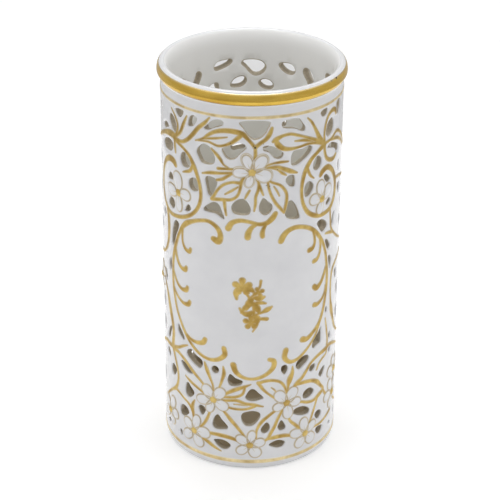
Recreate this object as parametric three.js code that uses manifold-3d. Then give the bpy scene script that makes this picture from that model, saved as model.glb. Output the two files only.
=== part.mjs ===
// Pierced cylinder vase in white glazed porcelain, with gilded rim, bands and scrollwork.
// Millimetres, +Z up. The origin is the centre of the foot, on the surface the vase stands on.
// The front panel faces -Y. The back carries the front's drawing as seen through the vase.
import * as THREE from 'three';
import { mergeVertices, mergeGeometries } from 'three/addons/utils/BufferGeometryUtils.js';
import Module from 'manifold-3d';

const wasm = await Module();
wasm.setup();

// Driving sizes
const WALL_RADIUS = 32.5;
const WALL_THICKNESS = 3.0;
const WALL_HEIGHT = 143.4;
const FOOT_HEIGHT = 2.2;
const FOOT_RING_WIDTH = 6.5;
const FOOT_INSET = 0.5;
const FOOT_EDGE_RADIUS = 0.8;
const FLOOR_THICKNESS = 3.0;
const FLOOR_CLEARANCE = 0.2;
const RIM_HEIGHT = 5.9;
const RIM_BULGE = 1.1;
const RIM_WIDEST = 2.6;
const RIM_CREST_ROUND = 1.9;
const RIM_BAND_START = 0.85;
const RIM_BAND_THICKNESS = 0.25;
const RIM_BAND_TURN = 51;
const LINE_WIDTH = 0.9;
const LINE_THICKNESS = 0.2;
const COLLAR_LINE_DROP = 3.5;
const FOOT_LINE_RISE = 1.4;
const RING_GAP = 0.05;
const GILT_GAP = 0.2;
const GILT_THICKNESS = 0.2;
const FLOWER_GAP = 0.25;
const FLOWER_EDGE = 0.3;
const FLOWER_CROWN = 0.65;
const FLOWER_EYE_RADIUS = 1.5;
const CUT_CLEARANCE = 1.5;
const BLUNT_END = 1.3;
const STROKE_TOLERANCE = 0.45;
const OPENING_TOLERANCE = 0.35;
const SEGMENTS = 40;
const LONGEST_SPAN = 6.6;

// The decoration is drawn flat, in mm round the wall and mm up from the table, on a wall of
// this radius between gold lines at these two heights. It follows the real wall and lines.
const DRAWN_RADIUS = 32.5;
const DRAWN_FOOT_LINE = 3.6;
const DRAWN_COLLAR_LINE = 142.1;

// Places that follow from the sizes
const INNER_RADIUS = WALL_RADIUS - WALL_THICKNESS;
const WALL_BOTTOM = FOOT_HEIGHT;
const WALL_TOP = WALL_BOTTOM + WALL_HEIGHT;
const COLLAR_LINE = WALL_TOP - COLLAR_LINE_DROP;
const FOOT_LINE = WALL_BOTTOM + FOOT_LINE_RISE;
const GILT_RADIUS = WALL_RADIUS + GILT_GAP;
const FLOWER_RADIUS = GILT_RADIUS + GILT_THICKNESS + FLOWER_GAP;

// Openings pierced through the wall, each a closed outline of [round, up] points
const OPENINGS = [
  [[14.0, 125.4], [15.0, 128.4], [18.6, 128.6], [21.2, 129.2], [22.7, 128.4], [22.4, 126.9],
    [18.8, 124.2], [16.4, 123.1], [14.6, 123.3]],
  [[-35.4, 135.1], [-34.9, 136.7], [-33.4, 137.0], [-31.6, 135.9], [-30.5, 133.4], [-30.8, 131.4],
    [-32.3, 130.9], [-34.1, 132.5]],
  [[-41.2, 130.6], [-39.6, 132.0], [-37.5, 132.5], [-35.9, 131.5], [-38.0, 130.5], [-40.2, 129.5]],
  [[-41.3, 123.9], [-38.9, 126.0], [-35.7, 126.9], [-33.1, 126.3], [-32.9, 124.9], [-34.2, 123.0],
    [-38.6, 122.0], [-40.7, 122.4]],
  [[-24.2, 113.6], [-23.8, 115.4], [-22.3, 116.5], [-20.6, 116.4], [-19.7, 115.2], [-19.6, 113.2],
    [-20.6, 111.8], [-22.9, 111.6]],
  [[-37.2, 111.4], [-36.6, 113.2], [-35.0, 114.3], [-33.7, 113.9], [-33.2, 112.5], [-35.0, 111.5]],
  [[30.2, 133.6], [31.5, 135.3], [33.3, 136.0], [34.7, 134.8], [34.9, 132.2], [33.8, 130.3],
    [31.5, 129.6], [30.1, 130.9]],
  [[37.0, 140.2], [38.6, 141.0], [40.6, 140.7], [41.0, 139.0], [40.2, 136.7], [39.1, 135.2],
    [38.0, 136.2], [37.3, 138.3]],
  [[31.2, 125.6], [32.9, 126.5], [35.4, 126.0], [37.8, 124.8], [39.8, 123.4], [39.6, 121.6],
    [38.3, 121.4], [36.6, 123.4], [33.6, 124.6]],
  [[23.5, 121.0], [24.0, 122.9], [25.4, 124.1], [27.0, 123.5], [27.8, 121.9], [27.1, 119.6],
    [25.8, 118.8], [24.2, 119.3]],
  [[29.4, 115.2], [30.5, 115.5], [32.2, 114.4], [33.5, 112.7], [32.5, 112.0], [30.8, 112.7]],
  [[40.2, 117.4], [41.1, 117.0], [41.3, 114.9], [40.4, 113.8], [39.7, 115.5]],
  [[40.0, 107.4], [41.4, 108.5], [43.0, 107.3], [43.0, 105.2], [41.2, 104.3]],
  [[-26.2, 44.8], [-25.4, 46.3], [-23.9, 46.9], [-21.4, 45.4], [-18.8, 44.0], [-18.7, 42.0],
    [-19.8, 40.5], [-23.6, 42.0], [-25.7, 43.6]],
  [[-29.5, 39.9], [-28.0, 40.1], [-25.4, 39.2], [-22.9, 37.3], [-23.6, 36.7], [-25.7, 36.4],
    [-27.9, 37.5]],
  [[-41.2, 39.0], [-40.2, 40.5], [-38.6, 40.2], [-37.6, 38.7], [-38.9, 37.3]],
  [[-36.8, 33.6], [-35.6, 35.6], [-34.1, 35.6], [-32.8, 34.2], [-33.7, 32.2], [-35.4, 30.8],
    [-36.5, 31.7]],
  [[-26.7, 31.2], [-25.7, 32.1], [-24.2, 30.7], [-22.6, 28.9], [-23.8, 26.8], [-25.4, 25.9],
    [-26.9, 26.9], [-27.1, 28.8]],
  [[-20.5, 23.6], [-19.6, 24.6], [-18.1, 24.5], [-17.4, 23.2], [-17.9, 21.8], [-18.9, 20.6],
    [-20.0, 21.9]],
  [[-30.4, 18.8], [-29.5, 20.5], [-27.9, 21.1], [-26.1, 20.4], [-25.4, 19.1], [-26.9, 17.2],
    [-28.9, 16.0], [-30.2, 16.4]],
  [[-31.0, 8.7], [-30.1, 9.4], [-29.4, 8.4], [-29.6, 6.9], [-30.4, 7.3]],
  [[-41.8, 7.7], [-40.7, 8.8], [-39.0, 9.1], [-38.7, 8.2], [-40.4, 7.4]],
  [[-40.0, 45.6], [-39.2, 48.5], [-37.2, 51.0], [-36.2, 51.1], [-36.9, 48.9], [-38.0, 46.2],
    [-39.1, 45.0]],
  [[-33.6, 94.6], [-31.6, 96.8], [-29.9, 96.2], [-30.1, 94.4], [-31.6, 91.4], [-32.7, 88.4],
    [-33.7, 86.0], [-34.7, 86.3], [-34.8, 88.6]],
  [[-37.5, 76.8], [-36.6, 79.7], [-35.8, 79.9], [-35.7, 76.1], [-36.5, 74.6]],
  [[-43.0, 72.2], [-41.2, 72.9], [-39.9, 70.9], [-39.4, 68.8], [-41.0, 69.4], [-42.6, 70.9]],
  [[-43.0, 97.1], [-41.5, 98.0], [-40.0, 96.7], [-40.9, 94.9], [-42.3, 95.7]],
  [[-31.4, 52.2], [-31.0, 54.8], [-29.6, 53.4], [-27.5, 50.5], [-27.8, 49.4], [-29.6, 50.0]],
  [[26.2, 98.0], [27.7, 98.7], [29.8, 98.0], [31.8, 96.3], [32.2, 94.9], [30.0, 93.4], [28.7, 93.9],
    [27.4, 95.7]],
  [[31.3, 89.5], [32.6, 89.1], [34.3, 87.2], [34.8, 85.7], [33.4, 84.8], [32.3, 86.4]],
  [[33.9, 82.0], [35.2, 81.5], [36.2, 79.9], [35.5, 76.9], [35.0, 76.2], [34.4, 78.6]],
  [[35.4, 93.8], [35.6, 95.8], [36.5, 98.0], [37.9, 98.6], [37.3, 96.6], [36.6, 93.8]],
  [[32.6, 59.4], [33.2, 61.5], [34.0, 60.5], [33.7, 58.9]],
  [[25.3, 48.4], [25.7, 50.3], [28.2, 52.4], [29.9, 54.3], [30.1, 51.7], [29.7, 47.8], [27.8, 47.5],
    [26.0, 46.8]],
  [[36.0, 48.9], [36.8, 49.3], [37.6, 47.2], [37.0, 46.1], [36.1, 47.2]],
  [[39.8, 73.4], [41.4, 74.0], [42.3, 72.2], [41.4, 69.9], [40.0, 70.8]],
  [[-14.6, 42.2], [-13.8, 43.2], [-12.4, 43.1], [-11.8, 42.0], [-12.3, 40.6], [-13.5, 40.2],
    [-14.5, 41.0]],
  [[-8.3, 37.5], [-8.1, 39.6], [-7.4, 40.9], [-5.4, 39.5], [-2.9, 38.3], [-3.2, 37.0], [-4.9, 36.1],
    [-7.2, 36.0]],
  [[-1.7, 31.4], [-1.0, 33.2], [0.1, 34.8], [1.3, 35.0], [3.3, 33.1], [4.9, 31.1], [3.4, 30.3],
    [1.1, 29.8], [-0.9, 30.3]],
  [[-3.2, 22.9], [-2.7, 24.5], [-1.0, 25.3], [1.1, 25.6], [3.4, 24.8], [3.8, 23.2], [2.6, 20.8],
    [0.8, 19.2], [-1.4, 19.1], [-2.8, 20.8]],
  [[-14.4, 18.0], [-14.1, 19.8], [-13.1, 22.0], [-12.1, 22.7], [-10.8, 21.0], [-8.4, 18.2],
    [-8.6, 17.1], [-10.4, 16.5], [-12.9, 16.2], [-14.0, 16.8]],
  [[4.2, 17.5], [5.1, 19.2], [6.4, 20.3], [7.3, 19.1], [7.5, 17.8], [6.8, 16.3], [5.4, 15.6],
    [4.4, 16.3]],
  [[10.6, 17.7], [11.2, 19.3], [12.0, 20.3], [12.9, 19.1], [13.7, 17.3], [13.2, 16.2], [11.4, 16.1]],
  [[-13.9, 11.1], [-12.4, 11.8], [-9.9, 11.9], [-8.1, 11.1], [-7.3, 10.0], [-8.2, 8.5], [-9.9, 7.9],
    [-11.8, 8.6], [-13.2, 10.0]],
  [[7.3, 10.4], [8.6, 11.4], [10.4, 11.9], [12.4, 11.4], [13.5, 10.5], [12.8, 9.0], [11.1, 8.5],
    [9.0, 9.1]],
  [[11.6, 42.4], [12.0, 43.7], [13.6, 43.7], [14.2, 42.1], [12.9, 40.0], [11.9, 41.2]],
  [[17.7, 42.4], [18.5, 44.2], [20.4, 45.3], [22.7, 45.3], [23.6, 44.4], [23.0, 42.9], [20.8, 41.4],
    [19.2, 40.5], [18.1, 41.2]],
  [[24.1, 38.9], [25.0, 40.0], [26.8, 40.0], [27.1, 38.7], [25.6, 37.4], [24.4, 37.8]],
  [[29.5, 34.3], [30.8, 35.8], [33.0, 36.4], [33.3, 35.4], [32.4, 33.6], [31.2, 32.5], [30.1, 33.2]],
  [[35.9, 41.4], [36.9, 42.4], [38.3, 42.1], [37.7, 41.0], [36.7, 40.4]],
  [[21.2, 28.9], [21.9, 30.0], [24.2, 30.6], [26.0, 29.6], [26.8, 28.5], [25.8, 27.2], [22.7, 26.6],
    [21.4, 27.4]],
  [[16.6, 22.4], [17.6, 23.7], [19.7, 24.0], [22.2, 23.3], [24.5, 21.3], [24.2, 19.9], [22.2, 19.7],
    [19.4, 20.5], [17.6, 21.5]],
  [[27.7, 17.6], [29.0, 18.4], [30.6, 18.1], [31.8, 16.8], [31.0, 15.3], [29.7, 14.7], [28.3, 15.9]],
  [[28.5, 10.8], [31.0, 10.9], [32.7, 10.1], [32.1, 8.5], [30.4, 7.7], [29.0, 8.7]],
  [[37.7, 8.2], [38.6, 8.8], [39.9, 8.2], [39.2, 7.6]],
  [[-46.8, 137.6], [-44.6, 138.4], [-43.4, 136.4], [-45.2, 134.9], [-46.9, 135.8]],
  [[44.8, 136.2], [46.8, 136.9], [48.4, 135.2], [47.0, 133.0], [45.2, 134.0]],
  [[-47.4, 117.6], [-45.6, 118.6], [-44.2, 116.9], [-45.0, 113.8], [-46.8, 114.6]],
  [[-47.6, 106.9], [-45.6, 107.6], [-44.6, 105.4], [-45.8, 103.0], [-47.4, 104.4]],
  [[44.9, 100.6], [46.8, 101.4], [48.2, 99.4], [46.6, 97.4], [45.0, 98.4]],
  [[-47.6, 91.6], [-45.4, 92.8], [-43.6, 91.0], [-44.6, 88.6], [-47.0, 88.9]],
  [[43.6, 93.4], [45.4, 94.2], [47.2, 92.6], [46.4, 90.0], [44.2, 90.4]],
  [[42.6, 66.2], [44.6, 67.2], [45.8, 65.0], [45.0, 61.6], [43.2, 62.6]],
  [[-46.0, 61.4], [-44.2, 62.8], [-42.8, 60.2], [-43.4, 56.6], [-45.6, 57.8]],
  [[-45.4, 51.2], [-43.6, 52.4], [-42.6, 50.2], [-43.2, 47.2], [-45.0, 48.0]],
  [[42.6, 56.2], [44.4, 57.4], [45.8, 55.2], [45.0, 51.8], [43.2, 52.6]],
  [[-48.0, 27.6], [-45.8, 29.2], [-44.2, 27.4], [-44.8, 24.6], [-47.2, 24.9]],
  [[44.6, 35.6], [46.6, 36.6], [48.0, 34.4], [46.8, 31.8], [44.8, 32.6]],
  [[-47.8, 10.2], [-45.6, 11.4], [-44.6, 9.4], [-46.0, 7.6], [-47.6, 8.3]],
  [[44.2, 10.6], [46.4, 11.4], [47.6, 9.6], [46.2, 7.8], [44.4, 8.6]],
];

// Openings of the front alone
const FRONT_OPENINGS = [
  [[-17.2, 136.4], [-15.6, 138.2], [-13.8, 139.9], [-11.4, 140.5], [-9.9, 139.8], [-10.3, 138.6],
    [-13.2, 137.3], [-15.6, 136.1]],
  [[-4.3, 140.2], [6.3, 140.2], [5.5, 137.5], [4.0, 135.2], [2.3, 134.1], [0.6, 133.9],
    [-0.8, 135.0], [-2.7, 137.7]],
  [[10.7, 139.8], [12.2, 140.4], [16.8, 140.2], [18.3, 138.6], [19.6, 136.2], [18.9, 135.2],
    [15.6, 136.7], [10.8, 138.0]],
  [[-10.4, 129.7], [-9.2, 131.0], [-7.0, 131.6], [-4.9, 132.5], [-2.9, 132.4], [-1.8, 131.1],
    [-3.9, 128.7], [-6.0, 126.5], [-8.2, 126.3], [-9.7, 127.8]],
  [[3.9, 131.2], [5.4, 131.7], [7.2, 131.3], [10.0, 129.4], [11.2, 128.3], [10.7, 126.9],
    [9.4, 126.4], [8.0, 126.9], [6.0, 129.1], [4.2, 129.9]],
  [[-20.4, 127.2], [-19.2, 129.2], [-17.2, 130.6], [-14.9, 129.8], [-13.4, 127.2], [-13.1, 124.8],
    [-14.4, 123.4], [-18.2, 123.3], [-19.5, 125.0]],
  [[-16.8, 117.8], [-16.0, 118.7], [-13.2, 118.5], [-12.2, 117.0], [-13.4, 113.6], [-14.6, 111.4],
    [-15.6, 111.8], [-16.4, 114.8]],
  [[12.2, 118.4], [13.3, 119.6], [15.2, 119.4], [15.7, 117.8], [15.5, 115.3], [14.7, 115.1],
    [12.8, 116.6]],
  [[-17.6, 106.0], [-15.6, 108.1], [-13.3, 109.4], [-11.7, 108.8], [-10.6, 106.5], [-9.7, 103.4],
    [-12.8, 104.9], [-17.2, 105.3]],
  [[-6.9, 108.6], [-5.8, 110.6], [-3.1, 111.8], [-1.4, 110.6], [-0.2, 107.6], [-1.0, 105.8],
    [-5.8, 105.8], [-6.8, 107.0]],
  [[4.2, 112.1], [5.6, 110.9], [7.3, 109.2], [7.4, 107.7], [6.3, 106.0], [4.7, 105.4], [3.2, 106.6],
    [2.7, 108.6]],
  [[13.2, 109.6], [14.3, 110.0], [15.6, 108.8], [16.9, 106.4], [17.8, 102.5], [13.6, 103.1],
    [12.2, 104.8]],
  [[-31.1, 139.8], [-29.8, 140.3], [-26.5, 140.2], [-27.3, 138.4], [-28.6, 137.4], [-30.0, 138.0]],
  [[-24.1, 135.6], [-24.0, 137.4], [-23.1, 139.4], [-21.4, 140.0], [-20.2, 139.3], [-21.0, 137.2],
    [-22.4, 135.9]],
  [[-28.4, 122.4], [-27.6, 124.4], [-26.1, 125.0], [-24.6, 124.3], [-23.3, 122.2], [-23.6, 120.6],
    [-25.0, 119.5], [-27.4, 119.6]],
  [[-36.8, 101.6], [-36.3, 103.6], [-34.6, 104.8], [-32.9, 104.4], [-32.2, 102.8], [-33.0, 101.1],
    [-34.8, 100.6]],
  [[-26.1, 102.6], [-25.6, 104.4], [-24.3, 105.6], [-23.2, 104.5], [-24.2, 103.1]],
  [[26.7, 140.1], [28.6, 140.7], [30.4, 140.5], [30.2, 138.9], [28.9, 138.0], [27.5, 138.5]],
  [[19.8, 112.9], [20.2, 114.5], [21.2, 115.5], [22.6, 115.2], [23.9, 113.6], [23.4, 111.8],
    [21.7, 110.0], [20.3, 110.0]],
  [[31.0, 104.2], [32.6, 105.5], [34.0, 105.0], [34.0, 104.0], [31.7, 103.2]],
];

// Openings that stand in their place on the back, seen from the front through the vase
const BACK_OPENINGS = [
  [[4.8, 137.0], [4.3, 138.3], [2.6, 139.3], [-2.8, 139.3], [-3.5, 138.5], [-2.3, 137.3],
    [-0.5, 135.2], [0.8, 134.2], [2.1, 134.2], [3.8, 135.2]],
  [[-15.3, 138.1], [-14.3, 139.3], [-11.6, 139.9], [-9.0, 139.8], [-9.5, 138.9], [-11.6, 137.8],
    [-13.5, 137.2], [-15.0, 137.1]],
  [[11.9, 138.6], [13.2, 139.1], [15.8, 139.2], [17.2, 138.4], [17.7, 137.0], [16.8, 136.0],
    [14.8, 136.0], [13.0, 137.0]],
  [[-8.2, 130.0], [-7.4, 131.6], [-5.7, 132.7], [-3.6, 132.9], [-3.0, 131.8], [-3.8, 130.4],
    [-5.8, 129.6]],
  [[8.2, 130.2], [7.3, 131.4], [5.4, 132.0], [4.0, 131.6], [3.4, 130.7], [4.4, 129.5], [6.0, 128.9],
    [7.6, 129.1]],
  [[-20.4, 127.2], [-19.2, 129.2], [-17.0, 131.0], [-15.0, 131.2], [-14.7, 129.4], [-13.6, 127.0],
    [-13.3, 124.8], [-14.4, 123.4], [-18.2, 123.3], [-19.5, 125.0]],
  [[24.9, 134.8], [23.1, 137.6], [23.7, 138.9], [25.4, 138.7], [27.4, 136.2], [27.5, 132.8],
    [26.5, 132.4]],
  [[-25.9, 133.0], [-25.2, 135.6], [-24.0, 137.4], [-22.8, 136.6], [-23.4, 134.4], [-24.8, 132.6]],
  [[12.0, 118.4], [13.0, 119.4], [14.0, 119.0], [14.1, 117.0], [13.9, 115.2], [13.2, 114.8],
    [12.3, 116.4]],
  [[-16.6, 105.6], [-15.4, 107.9], [-13.8, 108.8], [-12.7, 107.8], [-12.9, 106.0], [-14.8, 105.3]],
  [[-8.0, 105.8], [-7.2, 107.8], [-5.6, 109.0], [-4.2, 108.0], [-3.1, 106.4], [-3.4, 105.1],
    [-5.4, 104.6], [-7.6, 104.4]],
  [[3.6, 106.6], [4.8, 107.4], [6.3, 106.9], [6.6, 105.9], [5.2, 104.9], [3.9, 105.3]],
  [[13.4, 107.2], [14.6, 109.2], [15.8, 108.2], [16.2, 105.4], [15.9, 103.2], [14.9, 102.6],
    [13.8, 104.0]],
  [[19.9, 111.3], [20.2, 112.9], [21.2, 113.6], [22.4, 113.2], [22.7, 111.9], [21.8, 110.4],
    [20.6, 109.6]],
  [[-28.8, 123.2], [-28.2, 125.2], [-26.9, 125.9], [-25.3, 124.9], [-24.6, 123.0], [-25.6, 121.8],
    [-27.6, 121.6]],
];

// Gilded strokes of the panel frame, each a list of [round, up, width] points
const FRAME_LEFT = [
  [[-13.5, 95.2, 2.2], [-11.8, 94.6, 2.6], [-10.9, 96.6, 2.0], [-12.0, 99.6, 1.7],
    [-15.2, 101.6, 1.4], [-18.6, 101.2, 1.3], [-22.0, 99.9, 1.4], [-25.2, 98.1, 1.9],
    [-27.6, 95.6, 1.6], [-29.4, 92.6, 1.3], [-31.1, 88.8, 1.5], [-32.6, 84.6, 1.7],
    [-33.7, 80.2, 1.5], [-34.0, 75.4, 1.4], [-33.9, 70.6, 1.4], [-33.0, 65.6, 1.3],
    [-31.6, 61.0, 1.2], [-29.4, 57.0, 1.2], [-26.8, 53.2, 1.3], [-23.6, 49.6, 1.3],
    [-19.8, 46.9, 1.2], [-15.4, 45.7, 1.3], [-11.8, 46.6, 1.6], [-9.4, 49.0, 1.9],
    [-9.7, 51.6, 1.8]],
  [[-27.4, 95.8, 1.2], [-27.6, 92.6, 1.0], [-27.4, 89.8, 1.0], [-26.0, 87.6, 1.4],
    [-24.0, 87.2, 1.6], [-23.4, 88.4, 1.3]],
  [[-32.0, 86.4, 1.2], [-31.4, 83.4, 1.3], [-30.1, 80.5, 1.4], [-28.0, 79.0, 1.6],
    [-26.2, 79.2, 1.9], [-25.7, 80.2, 1.5]],
  [[-34.0, 77.0, 1.0], [-32.8, 74.4, 1.1], [-30.5, 71.5, 1.3], [-28.0, 70.5, 1.5],
    [-25.8, 71.1, 1.8], [-25.2, 72.3, 1.5]],
  [[-34.0, 70.4, 1.0], [-32.6, 68.0, 1.1], [-30.0, 66.0, 1.1], [-27.2, 65.0, 1.4],
    [-24.8, 65.6, 1.8], [-24.1, 66.8, 1.5]],
  [[-26.4, 52.8, 1.2], [-23.4, 51.4, 1.3], [-20.4, 51.2, 1.5], [-18.0, 52.1, 1.9],
    [-17.2, 53.6, 1.8]],
];
const FRAME_RIGHT = [
  [[10.7, 95.0, 2.2], [11.6, 96.9, 2.2], [13.4, 98.6, 1.9], [16.0, 99.3, 1.7],
    [19.4, 98.7, 1.5], [22.6, 97.2, 1.5], [25.2, 95.0, 1.6], [27.4, 92.4, 1.5],
    [29.6, 89.0, 1.3], [31.2, 85.0, 1.3], [32.2, 80.4, 1.5], [32.8, 75.4, 1.5],
    [32.7, 70.4, 1.6], [31.9, 65.4, 1.5], [30.6, 60.8, 1.5], [28.6, 57.0, 1.6],
    [25.4, 54.2, 1.6], [22.0, 52.4, 2.0], [20.2, 52.9, 2.4]],
  [[24.0, 95.8, 1.0], [24.8, 93.0, 1.1], [24.9, 90.6, 1.2], [23.9, 88.9, 1.7], [22.4, 88.6, 2.0]],
  [[27.8, 91.4, 1.1], [28.1, 88.2, 1.1], [27.6, 85.4, 1.2], [26.2, 83.6, 1.6], [24.8, 83.4, 1.8]],
  [[32.1, 79.0, 1.2], [30.6, 75.8, 1.5], [28.8, 73.2, 1.7], [26.6, 72.0, 2.3], [25.2, 73.0, 2.0]],
  [[32.2, 71.0, 1.0], [31.4, 68.0, 1.2], [29.4, 65.9, 1.3], [27.0, 65.0, 1.7], [25.5, 65.4, 1.9]],
  [[29.0, 57.2, 1.0], [27.0, 53.0, 0.9], [24.4, 50.0, 0.9], [21.4, 47.4, 1.1],
    [17.8, 45.2, 1.3], [14.8, 45.0, 1.5], [12.8, 47.2, 1.9], [13.2, 50.2, 2.2]],
];
const FRAME_TOP = [
  [[-8.1, 100.2, 2.2], [-6.7, 102.5, 1.8], [-3.8, 103.6, 1.5], [-0.6, 103.2, 1.3],
    [2.6, 102.3, 1.4], [5.4, 102.6, 1.7], [7.6, 104.5, 2.0], [8.5, 106.0, 1.7]],
  [[2.0, 102.4, 1.2], [0.2, 101.0, 1.5], [-1.0, 98.8, 2.1], [-1.2, 97.2, 2.2]],
  [[5.2, 102.4, 1.1], [4.3, 100.4, 1.3], [3.9, 98.6, 1.7], [4.0, 97.5, 1.6]],
];
const FRAME_BOTTOM = [
  [[-6.2, 45.2, 2.2], [-5.4, 42.6, 1.9], [-3.4, 40.6, 1.4], [-0.4, 39.6, 1.1],
    [3.0, 39.9, 1.3], [6.4, 41.6, 1.5], [8.6, 44.2, 1.8], [8.6, 46.6, 1.8], [7.0, 47.4, 1.5]],
];

// Gilded crown over the panel: arch, stem and the leaves that come from under the top flower
const CROWN = [
  [[-20.6, 131.2, 0.4], [-17.4, 132.7, 0.8], [-15.3, 134.5, 1.1], [-13.1, 135.9, 1.3],
    [-10.3, 136.8, 1.6], [-6.7, 137.0, 1.8], [-3.1, 136.2, 1.8], [-1.5, 134.6, 1.3],
    [0.1, 132.7, 1.1], [1.2, 131.3, 1.4]],
  [[1.2, 131.3, 1.3], [3.0, 132.9, 1.3], [4.9, 134.3, 1.4], [6.2, 136.2, 1.5], [6.9, 138.2, 1.0]],
  [[1.2, 131.3, 1.0], [1.3, 128.5, 1.1], [0.9, 126.0, 0.8], [0.3, 122.3, 0.8]],
  [[-19.6, 131.5, 0.5], [-15.5, 131.9, 0.7], [-11.7, 131.0, 0.8], [-9.2, 131.6, 0.9],
    [-6.7, 132.9, 1.2], [-4.6, 134.7, 1.5], [-3.3, 136.0, 1.4]],
  [[-17.8, 119.6, 0.5], [-14.5, 120.5, 1.2], [-11.0, 120.9, 1.0], [-6.5, 121.6, 0.8],
    [0.2, 122.3, 0.8]],
  [[0.2, 122.3, 0.8], [-2.9, 119.6, 1.0], [-3.7, 118.1, 1.2], [-6.6, 118.0, 0.9],
    [-9.6, 116.8, 0.9], [-11.8, 114.6, 0.9], [-13.2, 112.2, 1.0], [-14.1, 110.7, 1.3]],
  [[-13.9, 110.6, 1.3], [-10.5, 111.0, 1.2], [-7.0, 111.4, 1.0], [-5.0, 112.8, 0.9],
    [-4.0, 115.2, 0.9], [-3.6, 118.1, 1.2]],
  [[0.2, 122.3, 0.8], [2.4, 118.4, 0.9], [2.4, 115.6, 1.0], [1.5, 112.8, 0.9],
    [1.4, 110.0, 0.9], [1.0, 107.4, 0.5]],
  [[0.2, 122.3, 0.8], [5.0, 119.6, 0.8], [7.0, 118.1, 0.8], [10.2, 116.5, 0.9],
    [12.3, 113.5, 1.0], [12.5, 110.3, 1.1], [12.0, 107.8, 1.0], [11.6, 105.9, 0.7]],
  [[5.6, 118.9, 0.8], [6.0, 116.0, 0.8], [6.9, 113.2, 0.9], [8.6, 109.9, 1.0],
    [10.6, 107.3, 1.0], [11.6, 105.9, 0.7]],
  [[0.2, 122.3, 0.8], [4.6, 123.4, 0.8], [8.6, 123.7, 1.0], [11.5, 122.5, 1.5],
    [14.2, 121.2, 1.5], [16.4, 120.3, 0.5]],
];

// Gilded vine that curls round the upper left flower
const LEFT_VINE = [
  [[-33.0, 129.4, 2.0], [-29.8, 127.9, 1.5], [-26.5, 126.6, 1.2], [-23.6, 124.7, 1.3],
    [-21.6, 121.6, 1.7], [-19.9, 117.7, 1.4], [-18.8, 113.8, 1.3], [-18.6, 110.0, 1.3],
    [-19.7, 106.1, 1.3], [-22.2, 102.8, 1.3], [-26.0, 100.3, 1.4], [-30.8, 98.8, 1.4],
    [-35.2, 98.5, 1.5], [-39.3, 100.5, 1.5], [-41.9, 104.6, 1.4], [-42.2, 109.6, 1.4],
    [-41.0, 114.2, 1.5], [-38.4, 117.9, 1.8], [-35.2, 119.7, 2.3], [-32.2, 119.6, 2.6],
    [-31.2, 118.6, 2.0]],
  [[-31.0, 129.6, 1.4], [-28.1, 132.0, 1.2], [-26.4, 135.4, 1.3], [-24.6, 139.0, 0.6]],
  [[-31.4, 128.8, 1.4], [-27.2, 128.8, 1.2], [-24.3, 130.5, 1.4], [-21.9, 133.0, 1.5],
    [-19.3, 136.2, 1.4], [-16.7, 138.6, 1.2], [-14.9, 140.8, 0.5]],
  [[-30.8, 129.6, 1.6], [-33.4, 129.6, 2.6], [-37.0, 129.0, 1.9], [-40.8, 127.6, 1.4],
    [-44.4, 125.8, 1.4], [-48.4, 123.6, 0.9]],
  [[-38.2, 99.8, 1.4], [-37.2, 96.4, 1.9], [-36.8, 91.4, 2.0], [-37.5, 86.6, 1.5],
    [-39.8, 82.2, 1.2], [-43.6, 79.4, 1.0], [-48.2, 78.2, 0.5]],
];

// Gilded vine that curls round the upper right flower, with its leaves
const RIGHT_VINE = [
  [[28.8, 127.6, 2.2], [25.6, 125.9, 1.6], [22.6, 124.0, 1.6], [20.3, 121.0, 1.8],
    [18.9, 117.2, 1.5], [18.4, 112.4, 1.2], [19.2, 107.6, 1.3], [21.5, 103.7, 1.6],
    [25.2, 101.4, 1.7], [29.6, 100.6, 1.6], [33.8, 101.5, 1.8], [36.6, 104.6, 1.8],
    [37.3, 108.6, 1.7], [36.4, 112.8, 1.8], [33.9, 116.4, 1.8], [30.8, 118.2, 2.1],
    [28.1, 117.4, 2.2], [27.2, 116.4, 1.7]],
  [[28.6, 128.2, 1.6], [26.1, 130.9, 1.8], [24.6, 133.6, 1.4], [23.3, 136.0, 1.0],
    [22.1, 137.9, 0.9], [20.3, 139.8, 0.4]],
  [[28.9, 128.2, 1.0], [28.7, 131.6, 0.9], [29.3, 134.9, 1.0], [30.8, 137.6, 1.1],
    [33.3, 138.9, 1.6], [35.6, 138.3, 1.6], [36.3, 136.7, 0.9]],
  [[28.8, 127.8, 1.2], [33.0, 128.2, 1.0], [37.3, 129.7, 1.2], [41.2, 127.9, 1.1],
    [45.0, 124.5, 1.0], [48.6, 120.6, 0.5]],
  [[28.9, 127.6, 1.4], [29.2, 124.6, 1.2], [30.4, 121.9, 1.3], [32.7, 120.4, 1.5],
    [35.3, 120.1, 1.6], [37.0, 121.0, 1.2]],
  [[28.8, 127.8, 1.8], [25.2, 130.1, 1.4], [22.0, 131.7, 1.2], [19.0, 133.2, 0.8],
    [16.6, 134.2, 0.9], [13.6, 135.2, 1.0], [10.8, 135.0, 1.1], [8.2, 133.8, 1.6],
    [7.4, 133.2, 1.0]],
  [[8.2, 133.6, 1.3], [9.2, 131.7, 2.0], [11.2, 130.2, 1.6], [14.0, 129.7, 1.2],
    [17.0, 129.8, 0.9], [20.6, 130.1, 0.9], [24.6, 129.5, 1.1], [28.6, 127.9, 1.3]],
  [[33.6, 101.8, 1.0], [34.2, 97.2, 0.9], [34.9, 93.0, 0.9], [37.8, 89.6, 0.9],
    [42.0, 86.4, 0.9], [46.6, 84.0, 0.5]],
];

// Gilded scroll on the side of the wall
const SIDE_SCROLL = [
  [[48.0, 78.8, 0.5], [44.4, 78.2, 0.9], [40.4, 77.0, 1.2], [37.4, 75.2, 1.4],
    [36.2, 71.8, 1.1], [36.0, 67.2, 1.0], [36.4, 62.6, 1.3], [37.4, 58.4, 2.4],
    [39.2, 53.8, 1.5], [41.4, 49.4, 1.2], [44.8, 46.2, 1.1], [48.6, 44.2, 0.5]],
];

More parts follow.
